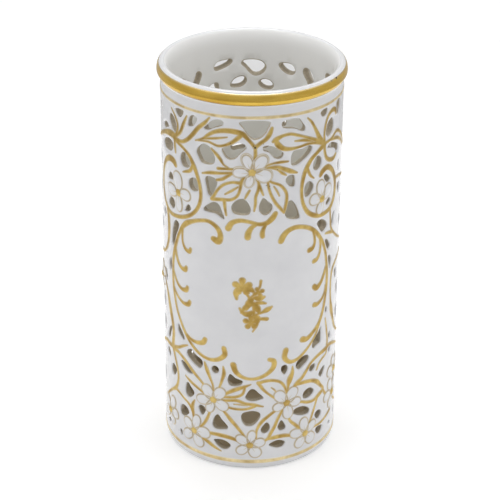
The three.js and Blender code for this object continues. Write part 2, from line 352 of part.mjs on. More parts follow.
// Gilded stems and leaves of the lower left flowers
const LOWER_LEFT = [
  [[-41.4, 68.0, 0.5], [-40.2, 65.9, 1.3], [-38.6, 62.8, 2.0], [-36.8, 58.4, 2.4],
    [-35.2, 54.0, 2.0], [-34.4, 49.8, 1.8], [-34.8, 46.2, 2.0], [-35.0, 43.4, 2.4]],
  [[-34.9, 43.0, 1.8], [-30.6, 42.7, 1.3], [-27.0, 41.2, 1.3], [-24.0, 39.0, 1.3],
    [-21.0, 36.7, 1.2], [-18.6, 34.8, 0.9], [-13.8, 29.0, 0.8]],
  [[-35.0, 43.0, 1.6], [-33.5, 39.5, 1.2], [-32.1, 36.0, 1.1], [-31.3, 32.5, 1.1],
    [-31.8, 29.0, 1.2], [-33.4, 26.2, 1.5], [-36.0, 24.2, 1.0], [-38.6, 22.0, 1.0],
    [-41.4, 19.4, 0.6]],
  [[-33.4, 25.9, 1.2], [-30.8, 25.5, 1.0], [-28.0, 24.4, 1.0], [-25.3, 23.2, 1.0],
    [-23.4, 21.4, 1.6], [-22.8, 18.4, 1.0], [-22.4, 12.6, 0.8]],
  [[-35.0, 43.2, 1.8], [-38.4, 43.0, 1.6], [-42.0, 42.6, 1.3], [-46.0, 40.8, 1.0],
    [-49.6, 39.2, 0.5]],
  [[-13.8, 29.0, 0.8], [-15.6, 22.6, 0.9], [-16.9, 19.2, 1.1], [-18.6, 16.4, 0.9],
    [-22.4, 12.6, 0.8]],
  [[-22.4, 12.6, 0.8], [-15.0, 13.9, 1.3], [-10.4, 14.0, 1.6], [-6.2, 13.3, 1.4],
    [-2.6, 11.8, 0.7]],
  [[-13.8, 29.0, 0.8], [-9.4, 24.4, 1.0], [-7.2, 21.6, 1.4], [-4.6, 18.4, 1.2],
    [-2.0, 14.8, 0.8]],
  [[-13.8, 29.0, 0.8], [-14.1, 35.0, 0.7], [-15.2, 37.8, 1.0], [-16.5, 41.0, 1.5],
    [-17.5, 43.8, 0.7]],
  [[-13.8, 29.0, 0.8], [-11.4, 35.0, 0.7], [-10.4, 38.2, 1.0], [-9.7, 41.2, 1.3],
    [-10.0, 43.8, 0.5]],
  [[-13.8, 29.0, 0.8], [-8.4, 32.9, 1.2], [-5.6, 34.6, 1.5], [-2.5, 36.0, 1.2],
    [0.2, 37.2, 0.4]],
  [[-13.8, 29.0, 0.8], [-9.0, 29.6, 1.0], [-4.9, 30.1, 1.2], [-1.8, 29.0, 1.1],
    [1.4, 28.5, 1.2], [4.8, 27.6, 0.5]],
];

// Gilded stems and leaves of the lower right flowers
const LOWER_RIGHT = [
  [[13.8, 27.8, 0.8], [9.2, 30.8, 0.9], [6.9, 32.7, 0.8], [4.9, 34.8, 1.0],
    [3.7, 36.6, 1.2], [2.9, 37.9, 1.2]],
  [[2.9, 37.7, 1.2], [5.4, 38.4, 1.2], [8.3, 38.4, 1.1], [11.1, 37.3, 1.0],
    [12.8, 35.2, 0.9], [13.8, 32.0, 0.8], [13.8, 27.8, 0.8]],
  [[13.8, 27.8, 0.8], [14.4, 34.8, 1.0], [15.0, 37.4, 2.2], [16.0, 40.0, 1.5],
    [16.1, 42.6, 0.5]],
  [[13.8, 27.8, 0.8], [9.2, 25.0, 1.0], [6.2, 22.7, 1.2], [4.1, 20.6, 1.2],
    [2.6, 17.6, 0.8], [2.2, 13.6, 0.7]],
  [[13.8, 27.8, 0.8], [11.5, 23.6, 1.0], [10.3, 21.1, 1.1], [9.2, 18.2, 1.2],
    [7.9, 15.8, 1.2], [6.5, 13.2, 1.0], [2.6, 11.6, 0.8]],
  [[6.4, 13.2, 1.0], [10.0, 13.6, 1.6], [12.8, 13.6, 1.5], [16.0, 12.9, 1.2],
    [22.2, 11.7, 0.8]],
  [[13.8, 27.8, 0.8], [15.2, 20.0, 0.9], [17.5, 17.2, 1.2], [20.1, 14.4, 1.2],
    [22.2, 11.7, 0.8]],
  [[13.8, 27.8, 0.8], [17.7, 34.8, 1.4], [20.1, 36.4, 1.4], [22.4, 38.9, 1.3],
    [24.4, 41.2, 1.1], [27.2, 42.6, 1.3], [30.2, 43.2, 1.5], [33.0, 43.4, 1.8],
    [36.6, 43.8, 1.4], [41.6, 42.0, 1.1], [46.6, 39.4, 0.5]],
  [[17.7, 34.6, 1.4], [22.6, 34.1, 1.4], [25.8, 33.2, 1.4], [28.3, 31.6, 1.7],
    [30.4, 29.2, 1.3], [32.3, 26.7, 1.2], [29.6, 25.4, 1.9], [26.2, 24.4, 1.2],
    [23.0, 25.0, 1.1], [20.2, 26.2, 0.9], [13.8, 27.8, 0.8]],
  [[32.2, 26.4, 1.0], [34.4, 23.4, 1.2], [37.2, 21.6, 1.6], [40.4, 19.2, 1.2],
    [44.4, 16.0, 1.0], [48.4, 13.2, 0.5]],
];

// Gilded flower sprig in the middle of the plain panel
const SPRIG = [
  [[-2.6, 76.6, 0.8], [-0.4, 73.0, 0.9], [1.0, 69.6, 1.0], [1.3, 66.0, 1.1],
    [2.4, 62.6, 0.9], [0.8, 59.4, 0.5]],
  [[-0.8, 72.6, 0.7], [2.0, 75.4, 0.8], [3.2, 77.6, 0.8], [3.6, 80.0, 0.9]],
  [[-2.6, 76.8, 1.2], [-4.6, 75.2, 1.6], [-5.2, 72.6, 0.7]],
  [[-0.2, 70.0, 0.7], [3.0, 71.2, 1.6], [5.4, 70.8, 0.7]],
  [[1.2, 71.4, 0.7], [-1.8, 69.4, 1.7], [-3.4, 67.0, 0.7]],
  [[0.6, 65.9, 0.7], [4.0, 67.2, 1.0], [6.0, 68.2, 1.9], [7.6, 69.2, 0.7]],
  [[0.6, 64.6, 0.6], [3.8, 64.6, 1.2], [5.8, 64.4, 1.5]],
];
// Blossoms of the sprig, each [round, up, radius, petals]
const SPRIG_BLOSSOMS = [
  [-3.0, 77.6, 3.3, 5],
  [0.2, 63.2, 2.8, 5],
  [2.8, 75.4, 2.2, 4],
];

// Relief flowers, each with its centre and its petals as [angle, length, width]
const FLOWERS = {
  top_flower: { at: [0.2, 122.3], petals: [[112, 7.0, 3.9], [51, 7.6, 4.6], [-19, 7.2, 5.4],
    [-105, 6.0, 3.4], [184, 6.8, 4.0]] },
  left_vine_flower: { at: [-29.3, 108.6], petals: [[98, 8.0, 5.6], [5, 6.2, 4.6],
    [-90, 7.4, 4.0], [186, 7.8, 5.0]] },
  right_vine_flower: { at: [28.0, 107.0], petals: [[97, 7.6, 4.6], [28, 6.8, 5.4],
    [-102, 5.8, 4.0], [166, 6.2, 4.6]] },
  lower_left_flower: { at: [-13.8, 29.0], petals: [[128, 6.8, 4.8], [53, 6.7, 4.6],
    [-28, 6.4, 4.8], [-112, 6.4, 3.6], [195, 7.6, 4.4]] },
  lower_right_flower: { at: [13.8, 27.8], petals: [[128, 6.9, 4.6], [57, 7.0, 4.8],
    [-8, 6.2, 4.0], [-82, 7.2, 4.4], [200, 5.6, 3.8]] },
  bottom_middle_flower: { at: [0.0, 11.0], petals: [[143, 6.2, 4.0], [80, 6.4, 3.4],
    [15, 5.9, 4.0], [-58, 6.2, 4.8], [-142, 6.0, 4.0]] },
  bottom_left_flower: { at: [-22.4, 12.6], petals: [[147, 6.3, 4.6], [77, 7.4, 4.0],
    [8, 7.2, 5.0], [-64, 7.0, 5.0], [-140, 7.2, 4.4]] },
  bottom_right_flower: { at: [22.2, 11.7], petals: [[162, 7.1, 4.2], [97, 7.2, 4.4],
    [32, 6.5, 4.2], [-48, 6.8, 5.0], [-126, 6.4, 4.6]] },
  side_left_flower: { at: [-37.6, 14.4], petals: [[0, 6.0, 4.6], [66, 7.4, 4.4],
    [140, 6.8, 4.4], [212, 6.6, 4.2], [-66, 6.0, 4.0]] },
  side_right_flower: { at: [39.8, 21.6], petals: [[182, 6.8, 4.6], [114, 6.8, 4.4],
    [44, 6.8, 4.4], [-30, 6.8, 4.4], [-104, 6.6, 4.4]] },
  side_upper_flower: { at: [41.4, 31.2], petals: [[176, 6.2, 4.6], [98, 5.6, 4.2],
    [28, 6.0, 4.2], [-44, 5.6, 4.0]] },
  side_middle_flower: { at: [-45.4, 69.0], petals: [[110, 5.6, 4.0], [38, 5.0, 3.8],
    [-34, 4.8, 3.8], [-106, 5.6, 4.0], [180, 5.0, 4.0]] },
};

// Colours and finishes
const porcelain = { color: 0xe6e6ea, roughness: 0.18, metalness: 0 };
const biscuit = { color: 0xdedcd6, roughness: 0.75, metalness: 0 };
const gilding = { color: 0xb8913c, roughness: 0.38, metalness: 0.85 };

const vase = new THREE.Group();

function place(name, geometry, finish, turn = 0) {
  const mesh = new THREE.Mesh(geometry, new THREE.MeshStandardMaterial(finish));
  mesh.name = name;
  mesh.rotation.z = turn;
  vase.add(mesh);
}

// Height on the real wall of a height in the drawing
function realHeight(up) {
  const share = (up - DRAWN_FOOT_LINE) / (DRAWN_COLLAR_LINE - DRAWN_FOOT_LINE);
  return FOOT_LINE + share * (COLLAR_LINE - FOOT_LINE);
}

// A point of the drawing on the round wall, at a given radius
function onWall(round, up, radius, turn = 0) {
  const angle = round / DRAWN_RADIUS + turn;
  return new THREE.Vector3(radius * Math.sin(angle), -radius * Math.cos(angle), realHeight(up));
}

// Bare positions with shared corners merged
function weld(geometry) {
  const bare = geometry.clone();
  bare.deleteAttribute('normal');
  bare.deleteAttribute('uv');
  return mergeVertices(bare, 1e-4);
}

function toSolid(geometry) {
  const welded = weld(geometry);
  return new wasm.Manifold(new wasm.Mesh({
    numProp: 3,
    vertProperties: Float32Array.from(welded.attributes.position.array),
    triVerts: Uint32Array.from(welded.index.array),
  }));
}

function toGeometry(solid) {
  const mesh = solid.getMesh();
  const geometry = new THREE.BufferGeometry();
  geometry.setAttribute('position', new THREE.Float32BufferAttribute(mesh.vertProperties, 3));
  geometry.setIndex(Array.from(mesh.triVerts));
  return geometry;
}

// A ring or disc turned round the axis from [radius, height] corners given anticlockwise
function turned(corners) {
  const profile = corners.map(([radius, height]) => new THREE.Vector2(radius, height));
  const geometry = new THREE.LatheGeometry(profile, SEGMENTS);
  geometry.rotateX(Math.PI / 2);
  return weld(geometry);
}

function ring(inner, outer, low, high) {
  return turned([[inner, low], [outer, low], [outer, high], [inner, high], [inner, low]]);
}

// Bends a flat solid round the wall: x runs round, y up, and z is the radius
function bend(geometry, turn = 0) {
  const position = geometry.attributes.position;
  for (let i = 0; i < position.count; i += 1) {
    const point = onWall(position.getX(i), position.getY(i), position.getZ(i), turn);
    position.setXYZ(i, point.x, point.y, point.z);
  }
  return geometry;
}

// Splits every edge that runs further round the wall than the longest span, so that the flat
// triangles follow the curve
function refine(geometry) {
  const points = Array.from(geometry.attributes.position.array);
  let triangles = Array.from(geometry.index.array);
  let split = true;
  while (split) {
    split = false;
    const middles = new Map();
    const middle = (a, b) => {
      if (Math.abs(points[3 * a] - points[3 * b]) <= LONGEST_SPAN) {
        return -1;
      }
      const key = a < b ? `${a},${b}` : `${b},${a}`;
      if (!middles.has(key)) {
        middles.set(key, points.length / 3);
        for (let k = 0; k < 3; k += 1) {
          points.push((points[3 * a + k] + points[3 * b + k]) / 2);
        }
      }
      return middles.get(key);
    };
    const next = [];
    for (let i = 0; i < triangles.length; i += 3) {
      const corner = triangles.slice(i, i + 3);
      const cut = corner.map((a, k) => middle(a, corner[(k + 1) % 3]));
      const count = cut.filter((m) => m >= 0).length;
      if (count === 0) {
        next.push(...corner);
      } else {
        split = true;
        const s = count === 1 ? cut.findIndex((m) => m >= 0) : (cut.findIndex((m) => m < 0) + 1) % 3;
        const [a, b, c] = [corner[s], corner[(s + 1) % 3], corner[(s + 2) % 3]];
        const [ab, bc, ca] = [cut[s], cut[(s + 1) % 3], cut[(s + 2) % 3]];
        if (count === 1) {
          next.push(a, ab, c, ab, b, c);
        } else if (count === 2) {
          next.push(ab, b, bc, a, ab, bc, a, bc, c);
        } else {
          next.push(a, ab, ca, ab, b, bc, ca, bc, c, ab, bc, ca);
        }
      }
    }
    triangles = next;
  }
  const refined = new THREE.BufferGeometry();
  refined.setAttribute('position', new THREE.Float32BufferAttribute(points, 3));
  refined.setIndex(triangles);
  return refined;
}

function slab(outline, low, depth) {
  const shape = new THREE.Shape(outline);
  const geometry = new THREE.ExtrudeGeometry(shape, { depth, bevelEnabled: false, steps: 1 });
  geometry.translate(0, 0, low);
  return geometry;
}

// Leaves out the points of a stroke that its neighbours already give, in place and in width
function thin(points) {
  const [first, last] = [points[0], points[points.length - 1]];
  const start = new THREE.Vector3(...first);
  const chord = new THREE.Line3(start, new THREE.Vector3(...last));
  const near = new THREE.Vector3();
  let worst = 0;
  let furthest = 0;
  points.forEach((point, i) => {
    const here = new THREE.Vector3(...point);
    const away = chord.closestPointToPoint(here, true, near).distanceTo(here);
    if (away > furthest) {
      [worst, furthest] = [i, away];
    }
  });
  if (furthest <= STROKE_TOLERANCE) {
    return [first, last];
  }
  return [...thin(points.slice(0, worst + 1)).slice(0, -1), ...thin(points.slice(worst))];
}

// Leaves out the corners of a closed outline that lie close to the line past them
function thinRound(outline) {
  const kept = [...outline];
  for (let i = kept.length - 1; i >= 0 && kept.length > 4; i -= 1) {
    const before = new THREE.Vector2(...kept[(i + kept.length - 1) % kept.length]);
    const after = new THREE.Vector2(...kept[(i + 1) % kept.length]);
    const here = new THREE.Vector2(...kept[i]);
    const along = after.clone().sub(before).normalize();
    if (Math.abs(along.cross(here.sub(before))) < OPENING_TOLERANCE) {
      kept.splice(i, 1);
    }
  }
  return kept;
}

// Outline of a brush stroke: its two sides and a point at each blunt end
function strokeOutline(drawn) {
  const points = thin(drawn);
  const left = [];
  const right = [];
  points.forEach(([x, y, width], i) => {
    const before = points[Math.max(i - 1, 0)];
    const after = points[Math.min(i + 1, points.length - 1)];
    const along = new THREE.Vector2(after[0] - before[0], after[1] - before[1]).normalize();
    const half = width / 2;
    if (i === 0 && width >= BLUNT_END) {
      left.push(new THREE.Vector2(x - along.x * half * 0.8, y - along.y * half * 0.8));
    }
    left.push(new THREE.Vector2(x - along.y * half, y + along.x * half));
    right.push(new THREE.Vector2(x + along.y * half, y - along.x * half));
    if (i === points.length - 1 && width >= BLUNT_END) {
      left.push(new THREE.Vector2(x + along.x * half * 0.8, y + along.y * half * 0.8));
    }
  });
  return left.concat(right.reverse());
}

function gilt(strokes, blossoms = []) {
  const outlines = strokes.map(strokeOutline);
  blossoms.forEach(([x, y, radius, petals]) => {
    const sides = petals * 3;
    const outline = [];
    for (let i = 0; i < sides; i += 1) {
      const reach = radius * (i % 3 === 0 ? 0.62 : 1);
      const angle = (i / sides) * 2 * Math.PI;
      outline.push(new THREE.Vector2(x + reach * Math.cos(angle), y + reach * Math.sin(angle)));
    }
    outlines.push(outline);
  });
  const solids = outlines.map((outline) => toSolid(slab(outline, GILT_RADIUS, GILT_THICKNESS)));
  const joined = solids.reduce((sum, solid) => sum.add(solid));
  return bend(refine(toGeometry(joined)));
}

// Distance from the centre of a petal flower to its edge in a given direction
function flowerReach(petals, direction) {
  let reach = FLOWER_EYE_RADIUS;
  petals.forEach(([degrees, length, width]) => {
    const turn = direction - THREE.MathUtils.degToRad(degrees);
    const [a, b] = [length / 2, width / 2];
    const [cos, sin] = [Math.cos(turn), Math.sin(turn)];
    if (cos > 0) {
      reach = Math.max(reach, (2 * a * b * b * cos) / (b * b * cos * cos + a * a * sin * sin));
    }
  });
  return reach;
}

// A relief flower: a flat back, a thin edge that follows the petals, and a raised middle
function flower({ at, petals }) {
  const directions = [];
  petals.forEach(([degrees]) => {
    [-26, 0, 26].forEach((step) => directions.push((degrees + step + 720) % 360));
  });
  directions.sort((p, q) => p - q);
  const corners = directions.filter((d, i) => i === 0 || d - directions[i - 1] > 5);
  const points = [];
  const triangles = [];
  const add = (round, up, radius) => {
    points.push(...onWall(round, up, radius).toArray());
    return points.length / 3 - 1;
  };
  const back = add(at[0], at[1], FLOWER_RADIUS);
  const crown = add(at[0], at[1], FLOWER_RADIUS + FLOWER_CROWN);
  const rims = corners.map((degrees) => {
    const direction = THREE.MathUtils.degToRad(degrees);
    const reach = flowerReach(petals, direction);
    const x = at[0] + reach * Math.cos(direction);
    const y = at[1] + reach * Math.sin(direction);
    return [add(x, y, FLOWER_RADIUS), add(x, y, FLOWER_RADIUS + FLOWER_EDGE)];
  });
  rims.forEach(([low, high], i) => {
    const [nextLow, nextHigh] = rims[(i + 1) % rims.length];
    triangles.push(back, nextLow, low, low, nextLow, nextHigh, low, nextHigh, high);
    triangles.push(crown, high, nextHigh);
  });
  const geometry = new THREE.BufferGeometry();
  geometry.setAttribute('position', new THREE.Float32BufferAttribute(points, 3));
  geometry.setIndex(triangles);
  return geometry;
}

// Foot, floor and pierced wall
const footRadius = WALL_RADIUS - FOOT_INSET;
const footInner = footRadius - FOOT_RING_WIDTH;
place('foot_ring', turned([
  [footInner, 0],
  [footRadius - FOOT_EDGE_RADIUS, 0],
  [footRadius - FOOT_EDGE_RADIUS * 0.3, FOOT_EDGE_RADIUS * 0.3],
  [footRadius, FOOT_EDGE_RADIUS],
  [footRadius, FOOT_HEIGHT],
  [footInner, FOOT_HEIGHT],
  [footInner, 0],
]), biscuit);
const floorRadius = INNER_RADIUS - FLOOR_CLEARANCE;
const floorTop = FOOT_HEIGHT + FLOOR_THICKNESS;
place('base_floor', turned([
  [0, FOOT_HEIGHT],
  [floorRadius, FOOT_HEIGHT],
  [floorRadius, floorTop],
  [0, floorTop],
]), porcelain);

// The decoration is used twice: for the front as drawn, and for the back in mirror image
// and half a turn round, so that each back piece lies straight behind its front one
const SIDES = [
  { side: 'front', hand: 1, turn: 0, openings: [...OPENINGS, ...FRONT_OPENINGS] },
  { side: 'back', hand: -1, turn: Math.PI, openings: [...OPENINGS, ...BACK_OPENINGS] },
];

// Each opening is cut straight through, square to the wall at the opening's middle
function cutter(drawn, hand, turn) {
  const opening = thinRound(drawn);
  const rounds = opening.map(([round]) => round);
  const middle = (Math.min(...rounds) + Math.max(...rounds)) / 2;
  const outline = opening.map(([round, up]) => {
    const across = WALL_RADIUS * Math.sin((round - middle) / DRAWN_RADIUS);
    return new THREE.Vector2(hand * across, realHeight(up));
  });
  const prism = slab(outline, INNER_RADIUS - CUT_CLEARANCE, WALL_THICKNESS + 2 * CUT_CLEARANCE);
  prism.rotateX(Math.PI / 2);
  return weld(prism.rotateZ((hand * middle) / DRAWN_RADIUS + turn));
}
const cutters = SIDES.flatMap(({ hand, turn, openings }) => (
  openings.map((opening) => cutter(opening, hand, turn))));
const tube = toSolid(ring(INNER_RADIUS, WALL_RADIUS, WALL_BOTTOM, WALL_TOP));
place('pierced_wall', toGeometry(tube.subtract(toSolid(mergeGeometries(cutters)))), porcelain);

// Rolled rim: a soft swell out to its widest place, a round crest, and a soft flare to the inside
const rimTop = WALL_TOP + RIM_HEIGHT;
const rimCrest = WALL_RADIUS + RIM_BULGE - RIM_CREST_ROUND;
const rimShoulder = WALL_TOP + RIM_WIDEST;

// Point of the rim's outer side, from 0 at the wall to 1 at the widest place, moved out by lift
function rimSwell(share, lift) {
  const swell = share * share * (3 - 2 * share);
  return [WALL_RADIUS + RIM_BULGE * swell + lift, WALL_TOP + RIM_WIDEST * share];
}

// Point of the round up to the crest, at an angle in degrees from the outer side
function rimTurn(degrees, lift) {
  const angle = THREE.MathUtils.degToRad(degrees);
  return [
    rimCrest + (RIM_CREST_ROUND + lift) * Math.cos(angle),
    rimShoulder + (rimTop - rimShoulder + lift) * Math.sin(angle),
  ];
}

// Point of the flare, from the crest at 0 degrees down to the inside of the wall at 90
function rimFlare(degrees) {
  const angle = THREE.MathUtils.degToRad(degrees);
  return [
    rimCrest - (rimCrest - INNER_RADIUS) * Math.sin(angle),
    WALL_TOP + RIM_HEIGHT * Math.cos(angle),
  ];
}

// The part of the rim that carries the gold band, moved out by lift
const bandStart = RIM_BAND_START / RIM_WIDEST;
const bandShares = [bandStart, (1 + bandStart) / 2];
const bandTurns = [0, 1 / 3, 2 / 3, 1].map((share) => share * RIM_BAND_TURN);
function bandSide(lift) {
  return [
    ...bandShares.map((share) => rimSwell(share, lift)),
    ...bandTurns.map((degrees) => rimTurn(degrees, lift)),
  ];
}
place('rim_roll', turned([
  [INNER_RADIUS, WALL_TOP],
  rimSwell(0, 0),
  ...bandSide(0),
  rimTurn((90 + RIM_BAND_TURN) / 2, 0),
  ...[0, 30, 60, 90].map(rimFlare),
]), porcelain);
const bandInside = bandSide(RING_GAP);
const bandOutside = bandSide(RING_GAP + RIM_BAND_THICKNESS);
place('rim_gold_band', turned([
  ...bandOutside,
  ...bandInside.reverse(),
  bandOutside[0],
]), gilding);
const lineInner = WALL_RADIUS + RING_GAP;
const lineOuter = lineInner + LINE_THICKNESS;
[['collar_gold_line', COLLAR_LINE], ['foot_gold_line', FOOT_LINE]].forEach(([name, height]) => {
  const half = LINE_WIDTH / 2;
  place(name, ring(lineInner, lineOuter, height - half, height + half), gilding);
});

// Decoration of each side
SIDES.forEach(({ side, hand, turn }) => {
  const mirrored = (places) => places.map(([round, ...rest]) => [hand * round, ...rest]);
  const gild = (name, strokes, blossoms = []) => {
    const geometry = gilt(strokes.map(mirrored), mirrored(blossoms));
    place(`${side}_${name}_gilding`, geometry, gilding, turn);
  };
  gild('frame_left', FRAME_LEFT);
  gild('frame_right', FRAME_RIGHT);
  gild('frame_top', FRAME_TOP);
  gild('frame_bottom', FRAME_BOTTOM);
  gild('crown', CROWN);
  gild('left_vine', LEFT_VINE);
  gild('right_vine', RIGHT_VINE);
  gild('side_scroll', SIDE_SCROLL);
  gild('lower_left', LOWER_LEFT);
  gild('lower_right', LOWER_RIGHT);
  gild('sprig', SPRIG, SPRIG_BLOSSOMS);
  Object.entries(FLOWERS).forEach(([name, { at, petals }]) => {
    const drawn = petals.map(([degrees, length, width]) => (
      [hand > 0 ? degrees : 180 - degrees, length, width]));
    place(`${side}_${name}`, flower({ at: [hand * at[0], at[1]], petals: drawn }), porcelain, turn);
  });
});

export default vase;
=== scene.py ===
import math
from itertools import accumulate

import bmesh
import bpy
import numpy as np
from mathutils import Matrix, Vector
from mathutils.geometry import delaunay_2d_cdt


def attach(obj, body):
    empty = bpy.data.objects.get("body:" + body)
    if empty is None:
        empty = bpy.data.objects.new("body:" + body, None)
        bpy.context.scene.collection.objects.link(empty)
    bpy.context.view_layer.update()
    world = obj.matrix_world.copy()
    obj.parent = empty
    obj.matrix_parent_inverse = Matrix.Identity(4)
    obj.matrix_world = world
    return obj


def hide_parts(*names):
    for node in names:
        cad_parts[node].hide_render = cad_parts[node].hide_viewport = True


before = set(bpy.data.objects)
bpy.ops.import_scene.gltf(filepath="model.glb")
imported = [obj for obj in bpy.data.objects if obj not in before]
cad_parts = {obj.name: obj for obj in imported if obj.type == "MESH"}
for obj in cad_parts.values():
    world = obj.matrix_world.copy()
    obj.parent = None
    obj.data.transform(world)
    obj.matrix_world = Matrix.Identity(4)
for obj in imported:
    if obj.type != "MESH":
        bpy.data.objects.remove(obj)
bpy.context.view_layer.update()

MM = 0.001

# Sizes of the body in mm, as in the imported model
WALL_RADIUS = 32.5
INNER_RADIUS = 29.5
WALL_BOTTOM = 2.2
WALL_TOP = 145.6
FOOT_RADIUS = 32.0
FOOT_INNER = 25.5
FLOOR_TOP = 5.2
RIM_HEIGHT = 5.89
RIM_BULGE = 1.1
RIM_WIDEST = 2.6
RIM_CREST_ROUND = 1.9
BAND_START = 0.85
BAND_TURN = 51
COLLAR_LINE = 142.1
FOOT_LINE = 3.6

